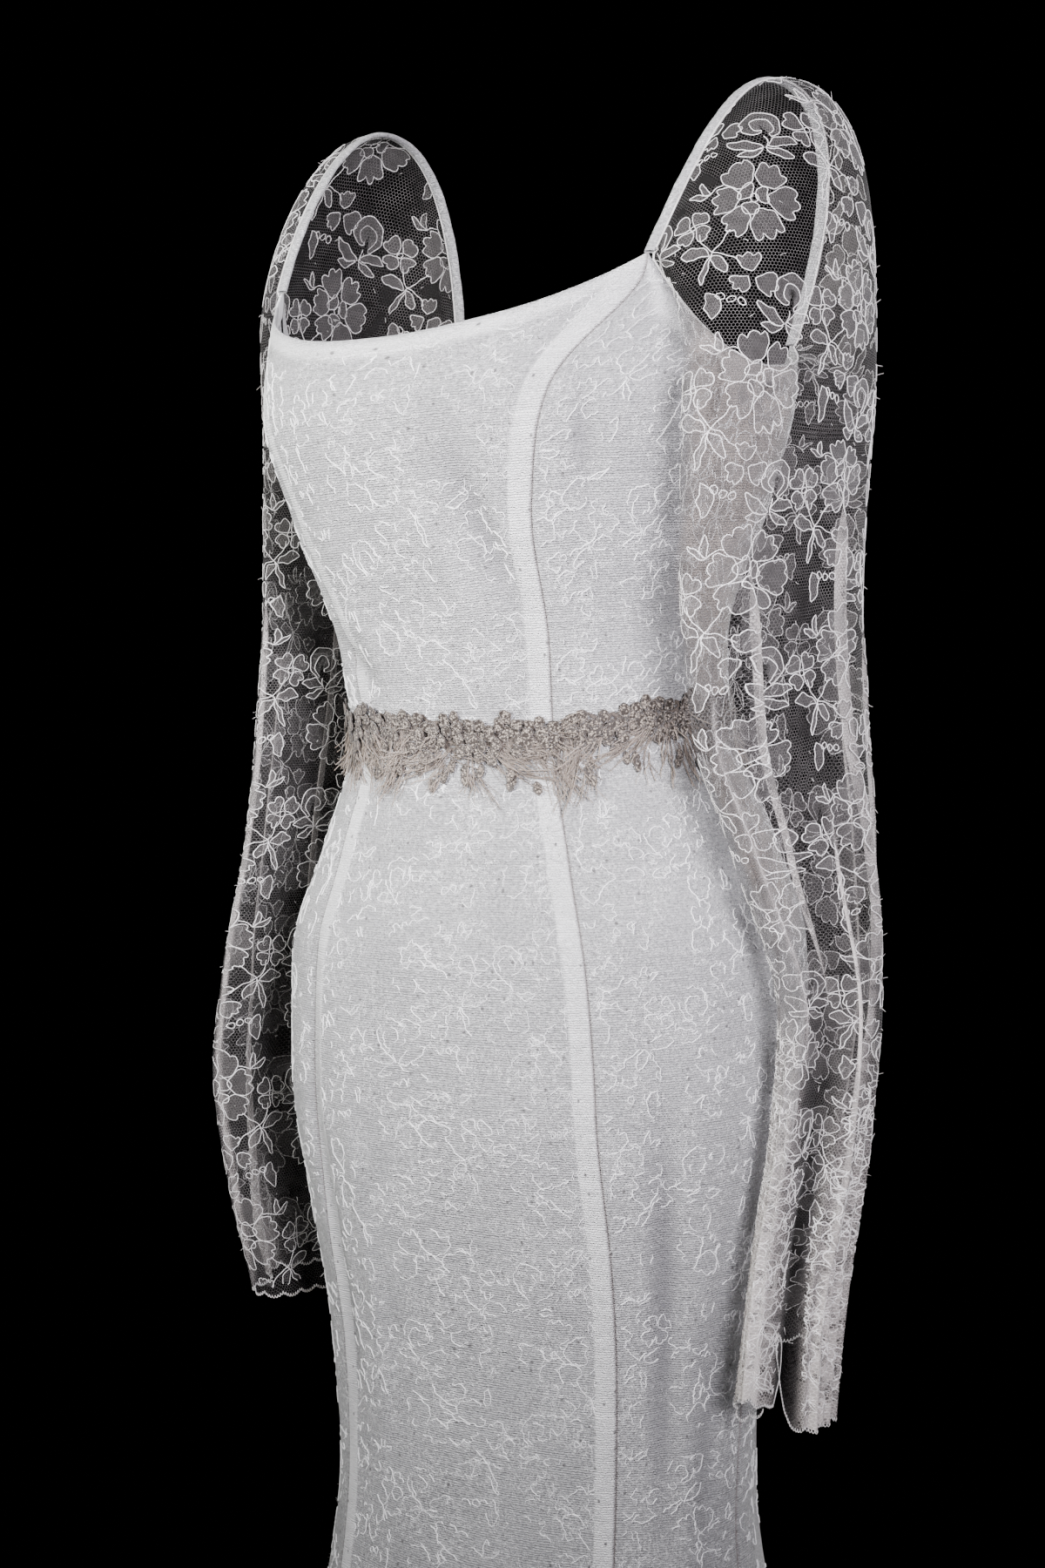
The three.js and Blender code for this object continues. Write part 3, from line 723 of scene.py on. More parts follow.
        # Painted shade in the troughs of the creases, deepest at DEEP_FOLD
        fold = np.clip(-crease_depth(self.angles, self.drops) / DEEP_FOLD, 0, 1)
        tones = {"double": double, "seam": seam, "shade": shade, "fold": fold}
        paint = {key: self.with_facings(tone) for key, tone in tones.items()}
        return make_mesh(self.name + "_cloth", points.reshape(-1, 3), faces, CREPE_CLOTH, flat, paint)

    def cut(self):
        """The flat cut's width, length and area, in metres."""
        turned = TURN_IN[-1][0] * 2
        length = HEM_DROP - self.tops.min() + turned
        widths = self.wide(self.drops).mean(1)
        steps = -np.diff(self.drops.mean(1))
        area = ((widths[1:] + widths[:-1]) / 2 * steps).sum() + widths[0] * turned
        return (float(self.width_at.max() * MM), float(length * MM)), float(area * MM**2)


# Lace motif: outlines of petals, leaves and scrolls in one repeat, in flat millimetres across and up


def along_bezier(points, count):
    """Points along a Bezier curve through any number of control points."""
    t = np.linspace(0, 1, count)[:, None]
    points = [np.array(p, float) for p in points]
    while len(points) > 1:
        points = [a * (1 - t) + b * t for a, b in zip(points, points[1:])]
    return points[0]


def petal(centre, direction, inner, outer, spread, wave, lobes):
    """A petal's outline: broad, with a lobed outer edge, and drawn in to a narrow root."""
    edge = np.linspace(-1, 1, 31)
    shift = random.uniform(-0.12, 0.12)
    lobe = np.abs(np.sin(lobes * math.pi / 2 * (edge + 1 + shift * (1 - edge**2)))) ** 0.6
    rim = outer * (1 - 0.24 * edge**4) + wave * (2 * lobe - 1.5)
    side = np.linspace(1, 0, 9)[1:]
    flank = inner + (rim[-1] - inner) * side**1.3
    width = 0.4 + 0.6 * np.sin(side * math.pi / 2)
    r = np.concatenate([rim, flank, flank[::-1]])
    turn = np.radians(direction + spread * np.concatenate([edge, width, -width[::-1]]))
    return np.stack([centre[0] + r * np.cos(turn), centre[1] + r * np.sin(turn)], -1)


def leaf(spine, width, bend=0.0, point=0.8):
    """A leaf's or a stem's outline: two cords that part and meet along a curved middle line."""
    middle = along_bezier(spine, 17)
    way = unit(np.gradient(middle, axis=0))
    side = np.stack([-way[:, 1], way[:, 0]], -1)
    t = np.linspace(0, 1, 17)[:, None]
    half = width / 2 * np.sin(math.pi * t ** (1 + bend)) ** point
    wave = 1 + 0.14 * np.sin(13 * t)
    return np.concatenate([middle + side * half * wave, (middle - side * half / wave)[-2:0:-1]])


def ring(centre, radius):
    t = np.linspace(0, 2 * math.pi, 13)[:-1]
    return np.stack([centre[0] + radius * np.cos(t), centre[1] + radius * np.sin(t)], -1)


def flower(centre, petals, first, inner, outer, spread, wave, lobes):
    turns = first + np.arange(petals) * 360 / petals + random.uniform(-4, 4, petals)
    sizes = outer * random.uniform(0.86, 1.08, petals)
    return [petal(centre, a, inner, size, spread, wave, lobes) for a, size in zip(turns, sizes)]


def scroll(centre, radius, first, turns, width):
    """A curled ribbon: the outline of a band that winds inwards and swells in its middle."""
    t = np.linspace(0, 1, 30)[:, None]
    a = math.radians(first) + t * turns * 2 * math.pi
    middle = radius * (1 - 0.5 * t)
    half = width / 2 * (0.3 + 0.7 * np.sin(math.pi * t))
    way = np.concatenate([np.cos(a), np.sin(a)], 1)
    return centre + np.concatenate([way * (middle + half), (way * (middle - half))[::-1]])


REPEAT = {"across": 70, "up": 93}


def motif():
    """The filled outlines and the open stems of one repeat."""
    big = flower((0, 0), 6, 12, 7.5, 23.5, 29, 2.1, 3)
    heart = flower((0.5, -0.5), 3, 50, 1.6, 8.6, 50, 0.8, 2)
    small = flower((34, -8), 4, 40, 2.2, 10.8, 40, 1.2, 2)
    bell = flower((6, -40), 3, 210, 2.0, 12.2, 38, 1.5, 3)
    leaves = [
        leaf([(26, -27), (34, -22), (41, -24)], 7.0),
        leaf([(25, -27), (20, -31), (17, -38)], 5.5),
        leaf([(22, 10), (26, 15), (24, 21)], 3.6),
        leaf([(22, 10), (28, 11), (33, 16)], 3.0),
        leaf([(-13, 29), (-20, 33), (-28, 30)], 6.0),
        leaf([(-12, 28), (-17, 23), (-25, 22)], 4.6),
        leaf([(-11, 28), (-2, 31), (5, 40)], 6.4),
        leaf([(-10, 27), (-3, 25), (3, 28)], 4.2),
        leaf([(28, 44), (24, 38), (28, 28)], 7.5),
        leaf([(24, -25), (28, -34), (31, -45)], 3.2, 0.5),
    ]
    curl = [scroll((-13, 44), 9.5, -110, -0.95, 5.5)]
    beads = [ring((22 - 4.6 * i, 41 - 1.2 * i), 2.0) for i in range(3)]
    eyes = [ring((0, 0), 2.4), ring((34, -8), 1.7)]
    stems = [
        along_bezier([(14, -15), (18, -20), (24, -25)], 8),
        along_bezier([(24, -25), (30, -20), (31, -13)], 8),
        along_bezier([(24, -25), (15, -27), (10, -33)], 9),
        along_bezier([(-12, 28), (-14, 31), (-13, 35)], 5),
        along_bezier([(14, 13), (18, 14), (22, 10)], 6),
    ]
    return big + heart + small + bell + leaves + curl, beads + eyes, stems


def stepped(path, closed, step):
    """A path's points spaced evenly."""
    if closed:
        path = np.concatenate([path, path[:1]])
    length = lengths(path)
    count = max(5, round(length[-1] / step)) + (0 if closed else 1)
    at = np.linspace(0, length[-1], count, endpoint=not closed)
    return np.stack([np.interp(at, length, path[:, k]) for k in (0, 1)], -1)


class Lace:
    """One repeat's cords as points with sideways directions and links, and its fillings as triangles."""

    def __init__(self, step):
        filled, open_rings, stems = motif()
        points, sides, alongs, links, owners, centres, fans = [], [], [], [], [], [], []
        total = 0
        kinds = [(filled, True, True), (open_rings, True, False), (stems, False, False)]
        for path, closed, fill in [(path, *kind) for paths, *kind in kinds for path in paths]:
            path = stepped(path, closed, step)
            n = len(path)
            way = np.roll(path, -1, 0) - np.roll(path, 1, 0) if closed else np.gradient(path, axis=0)
            way = unit(way)
            first = total + np.arange(n)
            pairs = np.stack([first, np.roll(first, -1)], -1)
            links.append(pairs if closed else pairs[:-1])
            owners.append(np.full(len(links[-1]), len(owners)))
            if fill:
                fans.append(np.concatenate([pairs, np.full((n, 1), len(centres))], 1))
                centres.append(path.mean(0))
            points.append(path)
            sides.append(np.stack([-way[:, 1], way[:, 0]], -1))
            alongs.append(np.arange(n) * step)
            total += n
        self.points, self.sides = np.concatenate(points), np.concatenate(sides)
        self.alongs, self.links = np.concatenate(alongs), np.concatenate(links)
        self.owners = np.concatenate(owners)
        self.centres, self.fans = np.array(centres), np.concatenate(fans)


def repeats(across, down, shift):
    """Places of the repeats over a range of flat cloth, each column half a repeat lower than the last."""

    def steps(limits, size):
        return np.arange(math.floor(limits[0] / size) - 1, math.ceil(limits[1] / size) + 2)

    i, j = np.meshgrid(steps(across, REPEAT["across"]), steps(down, REPEAT["up"]), indexing="ij")
    places = np.stack([i * REPEAT["across"], (j + 0.5 * (i % 2)) * REPEAT["up"]], -1)
    return places.reshape(-1, 2) + shift


def drawn_askew(flat, crinkle=0.0):
    """Flat points of the lace moved a little, as the cloth was pulled when it was sewn."""
    u, v = flat[..., 0], flat[..., 1]
    across = 1.1 * np.sin(v * 0.083 + 1.7 * np.sin(u * 0.037)) + 0.45 * np.sin(v * 0.62 + u * 0.37)
    down = 1.1 * np.sin(u * 0.091 + 1.9 * np.sin(v * 0.029)) + 0.45 * np.sin(u * 0.59 - v * 0.33)
    across = across + crinkle * np.sin(v * 1.31 + 2.0 * np.sin(u * 0.43))
    down = down + crinkle * np.sin(u * 1.23 + 2.0 * np.sin(v * 0.47))
    return flat + np.stack([across, down], -1)


def worn_away(flat, share):
    """Which flat points lie where the cords have sunk into the cloth, for about a share of them."""
    u, v = flat[..., 0], flat[..., 1]
    wave = np.sin(u * 0.47 + 2.1 * np.sin(v * 0.11)) + np.sin(v * 0.53 + 2.3 * np.sin(u * 0.13))
    return wave > 2.0 - 2.6 * share if share else np.zeros(u.shape, bool)


def lay_cords(name, lace, places, part, width, height, material, worn=0.0, bare=None):
    """Raised cords of the repeats on a panel or sleeve, but not where it is bare, as ribbons in one mesh."""
    flip = np.array([1, -1])
    flat = drawn_askew(places[:, None] + lace.points[None] * flip, 1.3 * worn)
    side = np.broadcast_to(lace.sides * flip, flat.shape)
    edges = [flat - side * width / 2, flat, flat + side * width / 2]
    row, column, inside = part.find(flat[..., 0], flat[..., 1])
    inside &= ~worn_away(flat, worn)
    if bare:
        inside &= ~bare(row, column)
    rows = []
    for edge, out in zip(edges, (0.05, height, 0.05)):
        r, c, _ = part.find(edge[..., 0], edge[..., 1])
        rows.append(part.cloth.at(r, c, np.full(r.shape, out)))
    points = np.stack(rows, 2)
    count = len(lace.points)
    links = lace.links[None] + (np.arange(len(places)) * count)[:, None, None]
    links = links.reshape(-1, 2)
    sunk = random.random((len(places), lace.owners.max() + 1)) < worn / 2
    kept = inside.reshape(-1)[links].all(1) & ~sunk[:, lace.owners].reshape(-1)
    a, b = links[kept].T * 3
    faces = np.concatenate([np.stack([a + k, b + k, b + k + 1, a + k + 1], -1) for k in (0, 1)])
    used, faces = np.unique(faces, return_inverse=True)
    flats = np.stack(edges, 2).reshape(-1, 2)[used]
    along = np.broadcast_to(lace.alongs[None, :, None], points.shape[:3])
    across = np.broadcast_to(np.array([-width / 2, 0, width / 2]), points.shape[:3])
    along = np.stack([along, across], -1).reshape(-1, 2)[used]
    points = points.reshape(-1, 3)[used]
    return make_mesh(name, points, faces.reshape(-1, 4), material, flats, along=along)


def lay_fillings(name, lace, places, part, out, material, bare):
    """The woven fillings of petals and leaves, as fans in one mesh."""
    flip = np.array([1, -1])
    rim = places[:, None] + lace.points[None] * flip
    middle = places[:, None] + lace.centres[None] * flip
    flat = drawn_askew(np.concatenate([rim, middle], 1))
    row, column, inside = part.find(flat[..., 0], flat[..., 1])
    inside &= ~bare(row, column)
    points = part.cloth.at(row, column, np.full(row.shape, out))
    fans = lace.fans + np.array([0, 0, len(lace.points)])
    faces = fans[None] + (np.arange(len(places)) * flat.shape[1])[:, None, None]
    faces = faces.reshape(-1, 3)
    faces = faces[inside.reshape(-1)[faces].all(1)]
    used, faces = np.unique(faces, return_inverse=True)
    points = points.reshape(-1, 3)[used]
    return make_mesh(name, points, faces.reshape(-1, 3), material, flat.reshape(-1, 2)[used])


def strands(name, paths, radius, material, sides=3, closed=False, tip=0.0):
    """Round threads along paths of as many points each, all in one mesh. The tone rises to the tip."""
    count, length = paths.shape[:2]
    way = np.roll(paths, -1, 1) - np.roll(paths, 1, 1) if closed else np.gradient(paths, axis=1)
    way /= np.linalg.norm(way, axis=-1, keepdims=True) + 1e-9
    side = np.cross(way, (0.31, 0.17, 0.93))
    side /= np.linalg.norm(side, axis=-1, keepdims=True) + 1e-9
    other = np.cross(way, side)
    turn = np.linspace(0, 360, sides, endpoint=False)[:, None]
    thick = np.broadcast_to(np.asarray(radius, float), (count, length))[..., None, None]
    points = paths[:, :, None] + thick * (side[:, :, None] * cos(turn) + other[:, :, None] * sin(turn))
    i, j = np.meshgrid(np.arange(length if closed else length - 1), np.arange(sides), indexing="ij")
    next_i, next_j = (i + 1) % length, (j + 1) % sides
    corners = np.stack([i * sides + j, next_i * sides + j, next_i * sides + next_j, i * sides + next_j], -1)
    faces = corners.reshape(1, -1, 4) + (np.arange(count) * length * sides)[:, None, None]
    steps = np.linalg.norm(np.diff(paths, axis=1), axis=-1)
    along = np.concatenate([np.zeros((count, 1)), np.cumsum(steps, 1)], 1)
    along = np.broadcast_to(along[..., None], points.shape[:3])
    around = np.broadcast_to(np.arange(sides) * 0.8, points.shape[:3])
    uv = np.stack([along, around], -1).reshape(-1, 2)
    shade = np.broadcast_to(random.uniform(0, 400, (count, 1, 1)), points.shape[:3])
    flat = np.stack([along + shade, around + shade], -1).reshape(-1, 2)
    rise = np.broadcast_to((tip * np.linspace(0, 1, length))[None, :, None], points.shape[:3])
    return make_mesh(name, points.reshape(-1, 3), faces.reshape(-1, 4), material, flat, {"tip": rise}, uv)


def loose_ends(name, cloth, count, length, material, rows):
    """Cut ends of thread that stand off a cloth between two of its rows, all in one mesh."""
    row = random.uniform(rows[0], rows[1], (count, 1))
    column = random.uniform(2, cloth.points.shape[1] - 3, (count, 1))
    root = cloth.at(row, column, 0.2 + 0 * row)
    off = cloth.at(row, column, 1.0 + 0 * row) - cloth.at(row, column, 0 * row)
    along = unit(np.cross(off, random.normal(0, 1, root.shape)))
    t = np.linspace(0, 1, 5)[None, :, None]
    reach = length * random.uniform(0.5, 1.3, (count, 1, 1))
    lift = random.uniform(0.15, 0.85, (count, 1, 1))
    bend = np.cross(off, along) * random.uniform(-0.5, 0.5, (count, 1, 1))
    paths = root + reach * (along * (1 - lift) * t + off * lift * t**1.3 + bend * t**2)
    return strands(name, paths, 0.2 * (1 - 0.5 * t[..., 0]), material)


BODY_LACE = Lace(2.0)
SLEEVE_LACE = Lace(1.7)
BODY_SHIFT = {"front_panel": (-8, 30)}

panel_pieces = {}
for row in PANELS:
    panel = Panel(*row)
    piece = place_piece(panel.piece(), "corded_lace_crepe", panel.name)
    half = panel.width_at.max() / 2
    shift = np.array(BODY_SHIFT.get(panel.name, (panel.side * 11, 8)))
    places = repeats((-half, half), (NECK["front_corner"], HEM_DROP), shift)
    size = BODY_CORDS["width"], BODY_CORDS["height"]
    on_panel = BODY_LACE, places, panel, *size
    cords = lay_cords(panel.name + "_cords", *on_panel, BODY_CORD, BODY_CORDS["worn"])
    rows = (BODY_ENDS["from_row"], len(panel.levels) + TOP_ROWS - 3)
    count = BODY_ENDS["per_column"] * panel.columns
    pale = loose_ends(panel.name + "_loose_ends", panel.cloth, count, BODY_ENDS["pale"], BODY_CORD, rows)
    # Half the loose ends are dark: partly darker thread, partly painted shadow of cut ends
    dark = loose_ends(panel.name + "_dull_ends", panel.cloth, count, BODY_ENDS["dull"], DULL_CORD, rows)
    for extra in (cords, pale, dark):
        place_piece(extra, "corded_lace_crepe")
    flat, area = panel.cut()
    panel_pieces[panel.name] = piece

# Zip: the slider and its tab keep their solids

for node in ("zip_slider", "zip_tab"):
    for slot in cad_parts[node].material_slots:
        slot.material = METAL

# Straps

STRAP = {"width": 7, "thickness": 3, "lift": 0.5, "top_out": 150, "top_drop": 1, "steps": 60, "sides": 14}
OVAL_SHARE = 0.8  # how far it is round a strap, as a share of the box about it


def strap_path():
    """The left strap's middle line, from the front corner over the shoulder to the back corner."""
    front = body_point(np.array(FRONT_CORNER), np.array(float(NECK["front_corner"])))
    back = body_point(np.array(BACK_CORNER), np.array(float(NECK["back_corner"])))
    front = front + (0, CREPE / 2, STRAP["lift"])
    back = back + (0, -CREPE / 2, STRAP["lift"])
    level = -STRAP["top_drop"]
    top = (STRAP["top_out"], 0, level)
    over = along_bezier([front, (front[0] + 8, front[1] + 28, -48), (top[0] - 1, -38, level + 1.5), top], 80)
    down = along_bezier([top, (top[0] + 3, 52, level - 1.5), (back[0] + 20, back[1] + 20, -62), back], 80)
    return np.concatenate([over, down[1:]])


STRAP_PATH = strap_path()
STRAP_LENGTHS = lengths(STRAP_PATH)


def on_strap(share):
    at = np.asarray(share) * STRAP_LENGTHS[-1]
    return np.stack([np.interp(at, STRAP_LENGTHS, STRAP_PATH[:, k]) for k in range(3)], -1)


def strap_piece(name, mirror):
    shares = np.linspace(0, 1, STRAP["steps"] + 1)
    middle = on_strap(shares)
    off = unit(np.cross(np.gradient(middle, axis=0), (1, 0, 0)))
    turn = np.linspace(90, 450, STRAP["sides"])
    wander = 1 + 0.05 * np.sin(shares * 61)[:, None] + 0.04 * np.sin(shares * 147 + 1)[:, None]
    side = STRAP["width"] / 2 * cos(turn) * wander
    rise = STRAP["thickness"] / 2 * sin(turn) * wander
    points = middle[:, None] + side[..., None] * (1, 0, 0) + rise[..., None] * off[:, None]
    faces = grid_faces(len(shares), STRAP["sides"])
    around = np.broadcast_to(np.arange(STRAP["sides"]) * 1.2, side.shape)
    flat = np.stack([around, np.broadcast_to(shares[:, None] * STRAP_LENGTHS[-1], side.shape)], -1)
    points = pose(points * (mirror, 1, 1), True).reshape(-1, 3)
    faces = faces[:, ::-1] if mirror > 0 else faces
    piece = make_mesh(name + "_cloth", points, faces, CREPE_CLOTH, flat.reshape(-1, 2))
    return place_piece(piece, "corded_lace_crepe", name)


for name, mirror in (("strap_left", 1), ("strap_right", -1)):
    piece = strap_piece(name, mirror)
    flat = (2 * (STRAP["width"] + STRAP["thickness"]) * OVAL_SHARE * MM, float(STRAP_LENGTHS[-1] * MM))

# Sleeves

RING_NAMES = "drop out back half_out half_back fold"
SLEEVES = {
    "sleeve_left": {
        "mirror": 1,
        "folds": 3,
        "turn": 20,
        "spread": 36,
        "swell": 18,
        "rings": Table(
            RING_NAMES,
            [
                (215, 186, -43, 28, 82, 0),
                (290, 181, -37, 27, 80, 2),
                (370, 178, -23, 26, 77, 3),
                (440, 186, -10, 25, 61, 4),
                (530, 200, -6, 23, 37, 5),
                (600, 196, -10, 22, 34, 6),
                (680, 188, -16, 22, 34, 7),
                (764, 184, -20, 23, 37, 8),
            ],
        ),
        "pleats": [
            # turn, half width in degrees, pull, depth, from and to drops
            (42, 8, 2.3, 3.0, 262, 470),
            (-18, 8, 2.3, 3.0, 225, 470),
            (75, 7, 1.6, 2.4, 330, 520),
            (-60, 9, 1.9, 3.0, 300, 560),
            (-110, 8, 1.7, 2.6, 340, 600),
            (10, 7, 1.7, 2.4, 400, 640),
        ],
        "grooves": [
            # turn, half width in degrees, depth at the hem, from this drop
            (50, 26, 32, 480),
            (-35, 40, 9, 600),
        ],
        "bunches": [
            # turn, half width in degrees, from this drop, how far the hem is drawn up, how tight
            (104, 34, 450, 20, 1.0),
            (0, 32, 500, 0, 1.0),
            (-120, 60, 700, 38, 0.1),
            (52, 17, 700, 44, 0.0),
        ],
    },
    "sleeve_right": {
        "mirror": -1,
        "folds": 3,
        "turn": 70,
        "spread": 34,
        "swell": -10,
        "rings": Table(
            RING_NAMES,
            [
                (215, 184, -8, 25, 66, 0),
                (290, 184, -10, 27, 64, 2),
                (370, 187, -13, 27, 66, 2),
                (440, 195, -14, 27, 67, 3),
                (530, 208, -17, 28, 71, 4),
                (600, 214, -20, 28, 70, 5),
                (680, 208, -20, 28, 67, 6),
                (744, 202, -18, 28, 58, 6),
            ],
        ),
        "pleats": [
            (88, 8, 2.2, 3.0, 260, 560),
            (60, 7, 1.7, 2.6, 420, 700),
            (30, 8, 2.0, 3.0, 300, 700),
            (-20, 8, 2.1, 3.0, 250, 600),
            (-70, 8, 2.0, 3.0, 320, 700),
        ],
        "grooves": [(75, 16, 12, 560)],
        "bunches": [(20, 24, 620, 2, 0.6), (-100, 40, 660, 4, 0.4)],
    },
}
# Towards the hem: folds that deepen from a drop, how high the drawn-up hem eases, the crimp of a bunch, and
# where a groove is too deep for cords or a bunch tight enough for a second layer of them
GATHER = {"depth": 5.5, "from": 420, "ease": 160, "crimp": 2.3, "bare": 13, "doubled": 0.35}
CAP = {"side": 8, "clear": 7, "fall": 0.6, "lift": 4}  # the rounded sleeve head, from the armhole to the first ring
SCALLOP = {"wide": 13, "deep": 3.2, "fade": 26}
SEAM_CORD = 0.75  # radius of the rolled seam along the strap and the armhole
PICOT = {"step": 2.0, "wide": 2.2, "deep": 1.9, "radius": 0.3}
SLEEVE_CORDS = {"width": 0.48, "height": 0.36, "filling": 0.12}
DOUBLED_CORDS = {"width": 0.5, "height": 0.5, "closer": (0.62, 0.8), "shift": (19, 31)}
SLEEVE_ENDS = {"count": 420, "length": 4.2}
SLEEVE_COLUMNS = 208
TUBE_ROWS = 103
HEAD_ROWS = 34
STRIDE = 4  # the flat cut is worked out on every fourth row and column


def armhole(turn):
    """The seam a left sleeve is set into: down the front strap, along the armhole and up the back strap."""
    share = (turn / 360) % 1
    out = STRAP["width"] / 2 + 2 * SEAM_GAP
    strap = np.where(share < 0.5, 0.5 - 0.5 * share / 0.2, 1 - 0.5 * (share - 0.8) / 0.2)
    on_straps = on_strap(np.clip(strap, 0, 1)) + (out, 0, 0)
    front = share < 0.5
    t = np.clip(np.where(front, (share - 0.2) / 0.3, (share - 0.5) / 0.3), 0, 1)
    angle = np.where(front, lerp(FRONT_CORNER, SIDE_ANGLE, t), lerp(SIDE_ANGLE, BACK_CORNER, t))
    drop = neck_drop(angle)
    edge = body_point(angle, drop) + body_normal(angle, drop) * 2 * SEAM_GAP
    near_strap = np.where(front, t < 0.5, t > 0.5)
    shift = out * (1 - np.minimum(1, 30 * np.minimum(t, 1 - t))) * near_strap
    edge = edge + np.stack([shift, 0 * shift, 0 * shift + 2 * SEAM_GAP], -1)
    sewn_low = (share > 0.2) & (share < 0.8)
    return np.where(sewn_low[..., None], edge, on_straps)


def flattened(grid):
    """The flat cut of a grid of cloth, in millimetres: its middle column stands upright through (0, 0)."""
    rows, columns = grid.shape[:2]
    flat = np.zeros((rows * columns, 2))
    draft = make_mesh("draft", grid.reshape(-1, 3), grid_faces(rows, columns), NET, flat)
    bpy.context.view_layer.objects.active = draft
    draft.select_set(True)
    bpy.ops.object.mode_set(mode="EDIT")
    bpy.ops.mesh.select_all(action="SELECT")
    bpy.ops.uv.unwrap(method="ANGLE_BASED", margin=0)
    bpy.ops.object.mode_set(mode="OBJECT")
    corners = np.zeros(len(draft.data.loops), np.int32)
    draft.data.loops.foreach_get("vertex_index", corners)
    uv = np.zeros(2 * len(corners), np.float32)
    draft.data.uv_layers.active.data.foreach_get("uv", uv)
    mesh = draft.data
    bpy.data.objects.remove(draft)
    bpy.data.meshes.remove(mesh)
    flat[corners] = uv.reshape(-1, 2)
    flat = flat.reshape(rows, columns, 2)
    middle = columns // 2
    upright = flat[-1, middle] - flat[0, middle]
    c, d = upright / np.hypot(*upright)
    flat = np.stack([flat[..., 0] * d - flat[..., 1] * c, flat[..., 0] * c + flat[..., 1] * d], -1)
    true_length = np.linalg.norm(np.diff(grid, axis=0), axis=-1).sum()
    flat_length = np.linalg.norm(np.diff(flat, axis=0), axis=-1).sum()
    return (flat - flat[0, middle]) * (true_length / flat_length)


def finer(grid, stride):
    """A coarse grid's values with stride steps for each of its own, along its rows and its columns."""
    for axis in (0, 1):
        count = grid.shape[axis]
        at = np.arange((count - 1) * stride + 1) / stride
        i = np.minimum(at.astype(int), count - 2)
        t = (at - i).reshape((-1, 1, 1) if axis == 0 else (1, -1, 1))
        grid = np.take(grid, i, axis) * (1 - t) + np.take(grid, i + 1, axis) * t
    return grid


